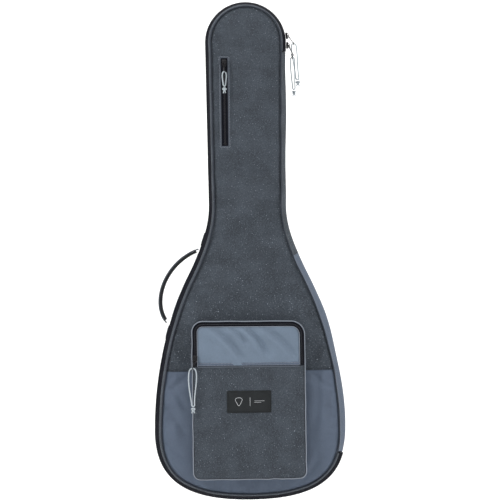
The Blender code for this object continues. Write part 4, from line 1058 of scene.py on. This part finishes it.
rest = {"half": 0.0688, "foot": 0.700, "high": 0.075, "rise": 0.046, "notch": 0.031, "strap": 0.038}
far = bag["backY"] - 0.0146 - 0.0003
near = far - rest["rise"]
turn = np.linspace(0, math.pi, 22)
edgeCurve = [(-rest["half"] + 0.003, far), (rest["half"] - 0.003, far), (rest["half"], far - 0.004),
    (rest["half"], near + 0.006),
             (rest["half"] - 0.002, near + 0.0015), (rest["half"] - 0.007, near), (rest["notch"] + 0.005,
                 near), (rest["notch"] + 0.0015, near + 0.0012)]
edgeCurve += [(rest["notch"] * math.cos(v),
    near + 0.003 + (rest["notch"] - 0.003) * math.sin(v)) for v in turn]
edgeCurve += [(-x, y) for x, y in edgeCurve[2:8][::-1]]
restLoop = evenly(np.array(edgeCurve), 0.0022, True)
middle = restLoop.mean(0)
levels = np.array([0, 0.001, 0.004, 0.009, 0.03, 0.05, 0.066, 0.071, 0.074, 0.075]) / 0.075 * rest["high"]
shrink = np.array([0.006, 0.003, 0.0008, 0, 0, 0, 0, 0.0008, 0.003, 0.006])
outFrom = np.roll(restLoop, -1, 0) - np.roll(restLoop, 1, 0)
outFrom = np.stack([outFrom[:, 1], -outFrom[:, 0]], 1) / np.linalg.norm(outFrom, axis=1)[:, None]
if ((restLoop - middle) * outFrom).sum() < 0:
    outFrom = -outFrom
rings = [np.insert(restLoop - outFrom * k, 2, rest["foot"] + v, axis=1) for v, k in zip(levels, shrink)]
piece("neckRest", loft(rings), lining, "bag_back", "neck_cradle", 50)
mid = rest["foot"] + rest["high"] / 2
bar = np.stack([np.linspace(-rest["half"] + 0.004, rest["half"] - 0.004, 40), np.full(40, near - 0.0015),
    np.full(40, mid)], 1)
bar[:, 1] -= 0.0006 * np.sin(np.linspace(0, math.pi, 40))
ends = 1 - 0.12 * np.abs(np.linspace(-1, 1, 40)) ** 12
profile = ends[:, None, None] * rounded(0.0011, rest["strap"] / 2, 5, 20)
rows = [stitches(bar + [0, -0.0011, k * (rest["strap"] / 2 - 0.003)], (0, -1, 0)) for k in (-1, 1)]
piece("neckStrap", [sweep(bar, (0, 0, 1), profile), *[kind(r, 1) for r in rows]], [blackWeb, threadPale],
    "bag_back", "neck_strap")
print("inside ready")

# pocket on the front
pocket = {
    "x": -0.003,
    "half": 0.124,
    "foot": 0.050,
    "top": 0.396,
    "corners": (0.016, 0.031, 0.024),  # radius at the foot, at the top right and at the top left
    "deep": 0.032,
    "seam": 0.298,
    "fold": (0.318, 0.334),  # heights given for the flap's bend, which nothing applies
    "tooth": 0.0016,
    "step": 0.0022,
    "cloth": 0.0016,
    "swell": 0.0030,
    # the flap's creases: both ends, width and depth
    "creases": (((-0.081, 0.3817), (-0.013, 0.309), 0.0068, 0.0056),
        ((-0.043, 0.3817), (-0.0066, 0.3465), 0.0050, 0.0036),
                ((-0.0066, 0.3795), (0.0374, 0.3223), 0.0064, 0.0066), ((0.033, 0.3795), (0.101, 0.3135),
                    0.0070, 0.0052)),
}


def reader(points):
    # even steps along a closed outline, and its outward direction, as for the bag's own outline
    loop = evenly(points, 0.0015, True)
    way = np.roll(loop, -1, 0) - np.roll(loop, 1, 0)
    way /= np.linalg.norm(way, axis=1)[:, None]
    out = np.stack([way[:, 1], -way[:, 0]], 1)
    run = np.arange(len(loop)) * float(np.linalg.norm(loop[1] - loop[0]))
    length = run[-1] + float(np.linalg.norm(loop[0] - loop[-1]))

    def read(distance):
        at = np.mod(distance, length)
        take = lambda c: np.interp(at, run, c, period=length)
        normal = np.stack([take(out[:, i]) for i in (0, 1)], -1)
        return np.stack([take(loop[:, i]) for i in (0, 1)], -1), normal / np.linalg.norm(normal, axis=-1,
            keepdims=True)

    return read, length, loop, run


def corner(x, z, r, start):
    a = np.radians(np.linspace(start, start + 90, 12))
    return np.stack([x + r * np.cos(a), z + r * np.sin(a)], 1)


half, rFoot, rRight, rLeft = pocket["half"], *pocket["corners"]
low, high = pocket["foot"], pocket["top"]
pocketLoop = np.vstack([[[0, low]], corner(half - rFoot, low + rFoot, rFoot, -90),
    corner(half - rRight, high - rRight - 0.0012, rRight, 0),
                        corner(-half + rLeft, high - rLeft, rLeft, 90), corner(-half + rFoot, low + rFoot,
                            rFoot, 180)]) + [pocket["x"], 0]
onPocket, pocketLength, loop, run = reader(pocketLoop)
pocketRun = np.arange(0, pocketLength - 0.001, pocket["step"])
right = (loop[:, 0] > pocket["x"]) & (run < pocketLength / 2)
seamRight = float(np.interp(pocket["seam"], loop[right][:, 1], run[right]))
seamLeft = pocketLength - seamRight + pocket["step"]


def halfWidth(z, side, inset):
    # the pocket outline's half width at a height, inside it by an inset
    point, out = onPocket(np.arange(0, pocketLength, 0.001))
    p = point - out * inset
    p = p[(p[:, 0] - pocket["x"]) * side > 0]
    p = p[np.argsort(p[:, 1])]
    return np.interp(z, p[:, 1], np.abs(p[:, 0] - pocket["x"]))


t = np.linspace(0, 1, 15)
depth = -0.0305 + 0.0305 * t
outwards = -0.0010 * np.sin(math.pi * t) + 0.0012 * t**6 + ripple(pocketRun[:, None], depth, 51, 0.0007,
    0.07) * np.sin(math.pi * t)
piece("pocketGusset", wallStrip(pocketRun, depth, outwards, pocket["cloth"], True, onPocket), heather,
    "cover", "pocket_gusset", 60)
wavy = ripple(pocketRun, 0 * pocketRun, 52, 0.0003, 0.05)[:, None]
wavy = wavy + ripple(pocketRun, 0 * pocketRun, 53, 0.0004, 0.03)[:,
    None] * (onPocket(pocketRun)[0][:, :1] > 0.02) * (onPocket(pocketRun)[0][:, 1:] < 0.12)
piece("pocketPiping", ringTube(pocketRun, -pocket["deep"] + 0.0016, -0.0014 + wavy, 0.0012, onPocket),
    pipingCloth, "cover", "pocket_piping")
baseTube = ringTube(pocketRun, -0.0014, 0.0012, 0.0011, onPocket)
piece("pocketBaseSeam", baseTube, darkPiping, "cover")


def pocketFace(x, z, toEdge):
    return front(z) - pocket["deep"] + 0.0002 + rolledEdge(toEdge, 0.006,
        0.0016) - pocket["swell"] * (1 - np.exp(-toEdge / 0.03))


def facePanel(insetSide, zs, columns):
    u = np.linspace(-1, 1, columns)
    u = np.sign(u) * (0.5 * np.abs(u) + 0.5 * np.sin(np.abs(u) * math.pi / 2))
    wide = np.where(u[None] > 0, halfWidth(zs, 1, insetSide)[:, None], halfWidth(zs, -1, insetSide)[:, None])
    x = pocket["x"] + u[None] * wide
    z = np.repeat(zs[:, None], columns, 1)
    toEdge = np.minimum((1 - np.abs(u))[None] * wide,
        np.minimum(z - pocket["foot"], pocket["top"] - 0.0120 - z).clip(0) + 0.0005)
    return x, z, toEdge


zs = pocket["foot"] + 0.0036 + (pocket["seam"] - 0.0012 - pocket["foot"] - 0.0036) * np.linspace(0, 1,
    120) ** 1.1
x, z, toEdge = facePanel(0.0034, zs, 121)
calm = np.exp(-((np.maximum(np.abs(x - pocket["x"]) - 0.050,
    0) / 0.012) ** 2) - ((np.maximum(np.abs(z - 0.220) - 0.026, 0) / 0.010) ** 2))
y = pocketFace(x, z, toEdge) + ripple(x, z, 54, 0.0011, 0.10) * (1 - np.exp(-toEdge / 0.015)) * (1 - calm)
obj = piece("pocketPanelLower", facing(weld(grid(np.stack([x, y, z], -1))), (0, -1, 0)), heather, "cover",
    "pocket_panel_lower", 60)
thicken(obj, pocket["cloth"])

flapBlend = ("cover", "pocket_flap", *[(pocket["x"], float(front(z)) - pocket["deep"],
    z) for z in pocket["fold"]])
zs = np.linspace(pocket["seam"] + 0.0005, pocket["top"] - 0.0132, 90)
x, z, toEdge = facePanel(0.0128, zs, 171)
y = pocketFace(x, z, toEdge) + (ripple(x, z, 55, 0.0006, 0.06) + folds(x, z,
    pocket["creases"])) * (1 - np.exp(-toEdge / 0.007)) - 0.0006
flap = piece("pocketFlap", facing(weld(grid(np.stack([x, y, z], -1))), (0, -1, 0)), paleSlate, flapBlend,
    "pocket_panel_upper", 60)
thicken(flap, 0.0014)
hemZ = pocket["seam"] + 0.0034
hemX = np.linspace(x[0, 1], x[0, -2], 90)
hemAt = lambda z: np.stack([hemX, pocketFace(hemX, z,
    np.minimum(0.030, np.minimum(hemX - hemX[0], hemX[-1] - hemX) + 0.002)) - 0.0016
                            + ripple(hemX, 0 * hemX + z, 54, 0.0005, 0.10), np.full(90, z)], 1)
hem = sweep(hemAt(hemZ), (0, -1, 0), rounded(0.0031, 0.0008, 3.4, 18))
rows = [stitches(hemAt(hemZ + k) + [0, -0.0008, 0], (0, -1, 0), 0.0030, 0.0022) for k in (-0.0021, 0.0021)]
piece("pocketFlapHem", [hem, *[kind(r, 1) for r in rows]], [slate, threadPale], "cover")
lowHem = sweep(hemAt(pocket["seam"] - 0.0022) + [0, 0.0003, 0], (0, -1, 0), rounded(0.0016, 0.0010, 2.4, 16))
piece("pocketLowerHem", lowHem, darkPiping, "cover")

zipStations = np.arange(seamRight, seamLeft, pocket["step"])
teeth = np.arange(seamRight + 0.001, seamLeft - 0.001, pocket["tooth"] / 4)
deep = -pocket["deep"]


def faceBand(inner, outer, lift):
    t = np.linspace(0, 1, 4)
    out = beside(zipStations, deep + lift + 0 * t, -outer + (outer - inner) * t, onPocket)
    back = out + [0, 0.0011, 0]
    return loft(np.concatenate([out, back[:, ::-1]], 1), strip=True)


piece("pocketZipperTapeRear", faceBand(0.0030, 0.0070, 0.0001), tape, "cover", "pocket_zipper_tape_rear",
    50)
piece("pocketZipperCoil", ribs(teeth, deep - 0.0004, -0.0080, (0.0011, 0.0011), pocket["tooth"], onPocket),
    coilNylon, "cover", "pocket_zipper_coil", 80)
flapTape = [faceBand(0.0088, 0.0130, -0.0002), kind(ringTube(zipStations, deep - 0.0010, -0.0128, 0.0007,
    onPocket, False), 1)]
obj = piece("pocketZipperTapeFront", flapTape, [tape, pipingCloth], flapBlend, "pocket_zipper_tape_front",
    50)

# label on the pocket: a moulded rubber patch with a raised border and plain marks
label = {"x": -0.003, "z": 0.220, "size": (0.096, 0.048), "thick": 0.0014, "corner": 0.002}


def roundedBox(wide, high, radius, count=8):
    a = np.radians(np.linspace(0, 90, count))
    quarter = np.stack([wide / 2 - radius + radius * np.cos(a), high / 2 - radius + radius * np.sin(a)], 1)
    other = quarter[::-1] * [-1, 1]
    return np.vstack([quarter, other, -quarter, -other])


def onLabel(flat, lift):
    flat = np.asarray(flat, float)
    x, z = flat[..., 0] + label["x"], flat[..., 1] + label["z"]
    y = front(z) + deep - pocket["swell"] * 0.86 - lift
    return np.stack([x, y + 0 * x, z], -1)


rings = [onLabel(roundedBox(label["size"][0] - 2 * k, label["size"][1] - 2 * k, label["corner"]), lift)
         for k, lift in ((0, -0.0005), (0, 0.0009), (0.0002, 0.0013), (0.0006, 0.0014), (0.0020, 0.0014))]
border = sweep(evenly(onLabel(roundedBox(0.0915, 0.0435, 0.0012), 0.0014), 0.0012, True), (0, -1, 0),
    circle(0.00035, 8), True)
pick = curved(onLabel([(-0.0225, -0.0085), (-0.0275, -0.0015), (-0.0300, 0.0050), (-0.0265, 0.0082),
    (-0.0225, 0.0088), (-0.0185, 0.0082),
                       (-0.0150, 0.0050), (-0.0175, -0.0015)], 0.0014), 0.0006, True)
marks = [sweep(pick, (0, -1, 0), circle(0.00042, 8), True)]
for bar in (((0.0020, -0.009), (0.0020, 0.009)), ((0.0110, 0.0016), (0.0330, 0.0016)),
    ((0.0110, -0.0016), (0.0260, -0.0016))):
    marks.append(sweep(evenly(onLabel(bar, 0.0013), 0.001), (0, -1, 0), rounded(0.00035, 0.00025, 3, 10)))
stitchPath = evenly(onLabel(roundedBox(0.0885, 0.0405, 0.001), 0.0014), 0.0012, True)
piece("labelPatch", [loft(rings), border, kind(together(*marks), 1),
    kind(stitches(np.vstack([stitchPath, stitchPath[:1]]), (0, -1, 0), 0.0032, 0.0022, 0.0003), 2)],
      [rubber, rubberPale, threadDark], "cover", "label_patch", 40)

# zipper let into the neck
def onNeck(flat, depth):
    flat = np.asarray(flat, float)
    x, z = flat[..., 0] + neckZip["x"], flat[..., 1]
    return np.stack([x, front(z) + depth + 0 * x, z], -1)


foot, top, wide = neckZip["foot"], neckZip["top"], neckZip["width"]
mid = (foot + top) / 2
slotLoop = roundedBox(wide + 0.001, top - foot + 0.001, 0.0015) + [0, mid]
welt = sweep(evenly(onNeck(slotLoop, 0.0000), 0.002, True), (0, -1, 0), rounded(0.0011, 0.0009, 2.2, 12),
    True)
stitchLoop = evenly(onNeck(roundedBox(wide + 0.0052, top - foot + 0.0052, 0.002) + [0, mid], -0.0004),
    0.0015, True)
tapeRows = np.linspace(foot + 0.0004, top - 0.0004, 80)
tapeX = np.array([-1, -0.4, 0.4, 1]) * (wide / 2 - 0.0004)
outer = np.stack([onNeck(np.stack([tapeX, np.full(4, z)], 1), 0.0006) for z in tapeRows])
tapePart = loft(np.concatenate([outer, (outer + [0, 0.0011, 0])[:, ::-1]], 1), strip=True)
teethZ = np.arange(foot + 0.004, top - 0.004, neckZip["tooth"] / 4)
swell = 1 + 0.16 * np.sin(wholeTurn * teethZ / neckZip["tooth"])
coils = []
for hand in (-1, 1):
    profile = rounded(*neckZip["coil"], 2.4, 10)
    rings = np.stack([onNeck(np.stack([hand * neckZip["apart"] + profile[:, 0] * s, np.full(10, z)], 1),
        -0.0003 + profile[:, 1] * s) for z, s in zip(teethZ, swell)])
    coils.append(loft(rings))
stopZ = foot + 0.005
stopRings = [np.stack([*rounded(0.0030 * k, 0.0010 * k, 3, 16).T, np.full(16, h)], 1)
             for h, k in ((-0.0016, 0.8), (-0.0012, 1), (0.0012, 1), (0.0016, 0.8))]
stop = moved(loft(stopRings), Matrix.Translation((neckZip["x"], float(front(stopZ)) - 0.0004, stopZ)))
piece("neckZipper", [tapePart, *[kind(c, 1) for c in coils], kind(stop, 2)], [tape, coilNylon, metal],
    "cover", "neck_zipper", 80)
piece("neckZipperWelt", [welt, kind(stitches(np.vstack([stitchLoop, stitchLoop[:1]]), (0, -1, 0), 0.0034,
    0.0025, 0.0005), 1)],
      [darkPiping, threadPale], "cover")
print("pocket and neck zipper ready")

# carry handle on the left: grey webbing outside, a padded grip under it, both ends under sewn anchors
handle = {
    "curve": ((-0.184, 0.386), (-0.222, 0.430), (-0.190, 0.525), (-0.110, 0.552)),
    "width": 0.027,
    "strap": 0.0028,
    "grip": 0.0062,
    "y": float(front(0.469)) + 0.088,
}
path = evenly(np.vstack([cubic(*handle["curve"], 80), [handle["curve"][3]]]), 0.0022)
gone = np.linspace(0, 1, len(path))
ahead = np.gradient(path, axis=0)
ahead /= np.linalg.norm(ahead, axis=1)[:, None]
inward = np.stack([ahead[:, 1], -ahead[:, 0]], 1)
place = lambda depth: np.insert(path + inward * np.reshape(depth, (-1, 1)), 1, handle["y"], axis=1)
profile = rounded(handle["strap"] / 2, handle["width"] / 2, 4.0, 24)
strap = sweep(place(handle["strap"] / 2), (0, 1, 0), profile)
cut = slice(3, -3)
part = gone[cut]
full = 0.75 + 0.25 * np.sin(math.pi * np.clip(part, 0, 1)) ** 0.4
shape = np.stack([np.outer(full, rounded(handle["grip"] / 2, 1, 2.6, 28)[:, 0]),
    np.outer(0.90 + 0.08 * full, rounded(1, handle["width"] / 2, 2.6, 28)[:, 1])], -1)
grip = sweep(place(handle["strap"] + 0.0002 + handle["grip"] / 2 * full[0])[cut], (0, 1, 0), shape)
rows = [kind(stitches(place(-0.0001)[4:-4] + [0, k * (handle["width"] / 2 - 0.0028), 0],
    -np.insert(inward[4:-4], 1, 0, axis=1), 0.0034), 1) for k in (-1, 1)]
piece("sideHandleStrap", [strap, *rows], [greyWeb, threadDark], "side_handle", "side_handle_strap")
piece("sideHandleGrip", grip, fabric("gripCloth", (0.017, 0.018, 0.021), 0.0012, mottle=0.2), "side_handle",
    "side_handle_grip")


def boxCross(origin, long, wide, sideA, sideB, up, lift):
    # a sewn box with a cross in it
    corners = [(-1, -1), (1, -1), (1, 1), (-1, 1), (-1, -1), (1, 1), (-1, 1), (1, -1)]
    origin, sideA, sideB, above = (np.array(v) for v in (origin, sideA, sideB, up))
    way = [origin + sideA * a * long / 2 + sideB * b * wide / 2 + above * lift for a, b in corners]
    return together(*[stitches(np.linspace(way[i], way[i + 1], 12), up, 0.0032,
        0.0023) for i in range(len(way) - 1)])


for name, end, away in (("Upper", handle["curve"][3], 1), ("Lower", handle["curve"][0], -1)):
    first = ringLength - ringAtHeight(end[1]) - away * 0.006
    s = first - away * np.linspace(0, 0.030, 14)
    tip = np.linspace(0, 1, 14)
    way = beside(s, 0, 0.0018 + 0 * tip[:, None])[:, 0]
    way[:, 1] = handle["y"]
    outs = beside(s, 0, 0.01 + 0 * tip[:, None])[:, 0] - beside(s, 0, 0 * tip[:, None])[:, 0]
    outs[:, 1] = 0
    thin = (0.55 + 0.45 * np.sin(math.pi * np.clip(tip * 0.92 + 0.06, 0, 1)) ** 0.5)[:, None, None]
    body = sweep(way, outs, thin * rounded(0, 0.0015, 3, 24) + rounded(handle["width"] / 2, 0, 4, 24))
    middle, up = way[7], outs[7] / np.linalg.norm(outs[7])
    alongWay = (way[8] - way[6]) / np.linalg.norm(way[8] - way[6])
    cross = boxCross(middle, 0.018, 0.019, alongWay, (0, 1, 0), up, 0.0015)
    piece("handleAnchor" + name, [body, kind(cross, 1)], [blackWeb, threadPale], "bag_back",
        "handle_anchor_" + name.lower())

# haul loop on the back, with its patch
haul = {"half": 0.024, "foot": 0.985, "rise": 0.052, "web": (0.018, 0.0030)}
wide, thick = haul["web"]
y = bag["backY"] + 0.0019 + wide / 2
turn = np.linspace(0, math.pi, 40)
straight = haul["rise"] - haul["half"] - thick / 2
path = [(haul["half"], y, haul["foot"] - 0.001)] + [(haul["half"] * math.cos(v), y,
    haul["foot"] + straight + haul["half"] * math.sin(v)) for v in turn]
path += [(-haul["half"], y, haul["foot"] - 0.001)]
path = evenly(path, 0.0015)
path[:, 1] -= 0.0010 * np.sin(np.linspace(0, math.pi, len(path)))
rows = [kind(stitches(path + [0, k * (wide / 2 - 0.0025), 0], (path - [0, y, haul["foot"]]) * [1, 0, 1],
    lift=thick / 2), 1) for k in (-1, 1)]
piece("haulLoop", [sweep(path, (0, 1, 0), rounded(thick / 2, wide / 2, 3.6, 22)), *rows],
    [blackWeb, threadPale], "bag_back", "haul_loop")


def backPatch(name, node, low, high, boxes):
    # a sewn patch on the back, its edges turned under
    (x0, z0), (x1, z1), lift = low, high, 0.0024
    centre, flat = np.array([(x0 + x1) / 2, (z0 + z1) / 2]), (x1 - x0, z1 - z0)
    steps = ((0, 0.0002), (0, 0.6 * lift), (0.0005, 0.9 * lift), (0.0016, lift), (0.0034, lift * 0.9))
    loops = [evenly(roundedBox(flat[0] - 2 * k, flat[1] - 2 * k, 0.003) + centre, 0.003, True) for k,
        _ in steps]
    count = min(map(len, loops))
    rings = [np.insert(loop[np.linspace(0, len(loop), count, endpoint=False).astype(int)], 1,
        bag["backY"] + up, axis=1)
             for loop, (_, up) in zip(loops, steps)]
    edge = evenly(roundedBox(flat[0] - 0.006, flat[1] - 0.006, 0.002) + centre, 0.002, True)
    line = np.insert(np.vstack([edge, edge[:1]]), 1, bag["backY"] + lift, axis=1)
    parts = [loft(rings), kind(stitches(line, (0, 1, 0)), 1)]
    parts += [kind(boxCross((bx, bag["backY"] + lift, bz), w, h, (1, 0, 0), (0, 0, 1), (0, 1, 0), 0.0001),
        1) for bx, bz, w, h in boxes]
    piece(name, parts, [blackWeb, threadPale], "bag_back", node)


backPatch("haulLoopPatch", "haul_loop_patch", (-0.036, 0.955), (0.036, 0.984),
    [(-0.022, 0.9695, 0.016, 0.018), (0.022, 0.9695, 0.016, 0.018)])
backPatch("strapAnchorPatch", "strap_anchor_patch", (-0.074, 0.580), (0.074, 0.628),
    [(-0.037, 0.604, 0.050, 0.032), (0.037, 0.604, 0.050, 0.032)])

# shoulder straps: padded, bound along both edges, with a line sewn up the middle
straps = {"top": 0.578, "foot": 0.262, "x": (0.036, 0.100), "half": (0.031, 0.023), "thick": 0.011,
    "bow": 0.022, "webFoot": (0.160, 0.112),
          "web": (0.0125, 0.0009), "buckle": 0.0256}
bindCloth = ribbed("binding", (0.022, 0.024, 0.028), 0.0012, 0.7, lean=0.5)
strapCloth = fabric("strapCloth", (0.020, 0.022, 0.026), 0.0011, mottle=0.18)
for side, hand in ((1, "right"), (-1, "left")):
    t = np.linspace(0, 1, 110)
    x = straps["x"][0] + (straps["x"][1] - straps["x"][0]) * t * t
    z = straps["top"] + (straps["foot"] - straps["top"]) * t
    bowed = straps["bow"] * np.sin(math.pi * 0.5 * t) ** 2 * (1.25 - 0.25 * t)
    y = bag["backY"] + 0.0015 + straps["thick"] / 2 + bowed
    half = straps["half"][0] + (straps["half"][1] - straps["half"][0]) * t
    way = np.stack([side * x, y, z], 1)
    along, up, cross = across(way, (0, 1, 0))
    tip = np.minimum(1, np.minimum(t / 0.035, (1 - t) / 0.05)) ** 0.5
    plump = straps["thick"] / 2 * (0.30 + 0.66 * tip) * (1 + 0.035 * np.sin(t * 46 + side))
    base = rounded(1, 1, 2.9, 40)
    sunk = 1 - 0.28 * np.exp(-((base[:, 0] / 0.10) ** 2))
    profile = np.stack([np.outer(half * 0.985, base[:, 0]), np.outer(plump, base[:, 1] * sunk)], -1)
    body = sweep(way, up, profile)
    edges = [kind(sweep(way + cross * (half * k)[:, None], up, rounded(0.0020, 0.0026, 2.4, 14)),
        1) for k in (-0.965, 0.965)]
    rows = [kind(stitches(way[3:-3] + up[3:-3] * (plump * 0.78)[3:-3, None], up[3:-3], 0.0036), 2)]
    rows += [kind(stitches((way + cross * (half * k)[:, None] + up * (plump * 0.62)[:, None])[3:-3],
        up[3:-3], 0.0034), 2) for k in (-0.87, 0.87)]
    piece("shoulderStrap" + hand.title(), [body, *edges, *rows], [strapCloth, bindCloth, threadPale],
        "strap_" + hand,
          "shoulder_strap_" + hand)
    down = (way[-1] - way[-2]) / np.linalg.norm(way[-1] - way[-2])
    begin = way[-1] + down * straps["buckle"]
    end = np.array([side * straps["webFoot"][0], bag["backY"] + 0.0024, straps["webFoot"][1]])
    s = np.linspace(0, 1, 60)
    line = begin + (end - begin) * np.stack([s, s * s * (3 - 2 * s), s], 1)
    tail = np.stack([begin - down * k + np.array([0, 0.0010 * math.sin(k * 180),
        0]) for k in np.linspace(0.020, 0.0008, 8)])
    line = evenly(np.vstack([tail, line]), 0.0022)
    _, up, cross = across(line, (0, 1, 0))
    rows = [kind(stitches(line[-12:-2] + cross[-12:-2] * k + up[-12:-2] * 0.0010, up[-12:-2]),
        1) for k in (-0.008, 0.008)]
    webbing = sweep(line, up, rounded(*straps["web"], 5, 20))
    piece("strapWebbing" + hand.title(), [webbing, *rows], [blackWeb, threadPale], "webbing_" + hand,
        "strap_webbing_" + hand)
for obj in bpy.data.objects:  # the two plastic ladder locks keep their own shape
    if obj.name.startswith("ladder_lock"):
        for k in range(len(obj.material_slots)):
            obj.material_slots[k].material = plastic
print("handle, loop and straps ready")

# studio: pale floor that curves up behind, and soft lamps
room = {"floor": -0.22, "wall": 2.2, "bend": 0.8, "reach": 6.0, "light": 0.62}
turn = np.linspace(0, math.pi / 2, 16)
sweepBack = [(-room["reach"], room["floor"])]
sweepBack += [(room["wall"] - room["bend"] + room["bend"] * math.sin(v),
    room["floor"] + room["bend"] * (1 - math.cos(v)))
              for v in turn]
sweepBack += [(room["wall"], room["reach"])]
floorPoints = np.array([[(x, y, z) for y, z in sweepBack] for x in np.linspace(-room["reach"],
    room["reach"], 5)])
floorMaterial = solidFinish("paleFloor", (0.93, 0.93, 0.93), 0.9, 0.0, 20.0, 0.0001, 0.005)
floorPart = together(facing(grid(floorPoints), (0, -1, 1)))
floorObj = bpy.data.objects.new("floor", meshOf("floor", floorPart))
floorObj.data.materials.append(floorMaterial)
bpy.context.collection.objects.link(floorObj)
floorTree = floorMaterial.node_tree  # the stage's far side is clear, so that views from behind see the bag
floorOut = next(node for node in floorTree.nodes if node.type == "OUTPUT_MATERIAL")
side, clear, either = (floorTree.nodes.new(kind) for kind in ("ShaderNodeNewGeometry",
    "ShaderNodeBsdfTransparent", "ShaderNodeMixShader"))
floorTree.links.new(floorOut.inputs["Surface"].links[0].from_socket, either.inputs[1])
floorTree.links.new(clear.outputs[0], either.inputs[2])
floorTree.links.new(side.outputs["Backfacing"], either.inputs[0])
floorTree.links.new(either.outputs[0], floorOut.inputs["Surface"])

lamps = {
    "key": ((-2.5, -1.7, 2.4), 0.9, 74.0),
    "fill": ((2.6, -1.6, 1.3), 1.6, 33.0),
    "top": ((0.3, -0.2, 2.9), 1.4, 16.0),
    "backdrop": ((0.0, 0.6, 3.2), 3.0, 48.0),
}
for name, (place, size, power) in lamps.items():
    lamp = bpy.data.lights.new(name, "AREA")
    lamp.shape, lamp.size, lamp.energy = "DISK", size, power
    obj = bpy.data.objects.new(name, lamp)
    obj.location = place
    aim = Vector((0, 2.2, 0.6) if name == "backdrop" else (0, 0, 0.55)) - Vector(place)
    obj.rotation_euler = aim.to_track_quat("-Z", "Y").to_euler()
    bpy.context.collection.objects.link(obj)
bpy.context.scene.view_settings.view_transform = "Standard"
world = bpy.context.scene.world or bpy.data.worlds.new("world")
bpy.context.scene.world = world
world.use_nodes = True
world.node_tree.nodes["Background"].inputs[0].default_value = (1, 1, 1, 1)
world.node_tree.nodes["Background"].inputs[1].default_value = room["light"]
print("studio ready")
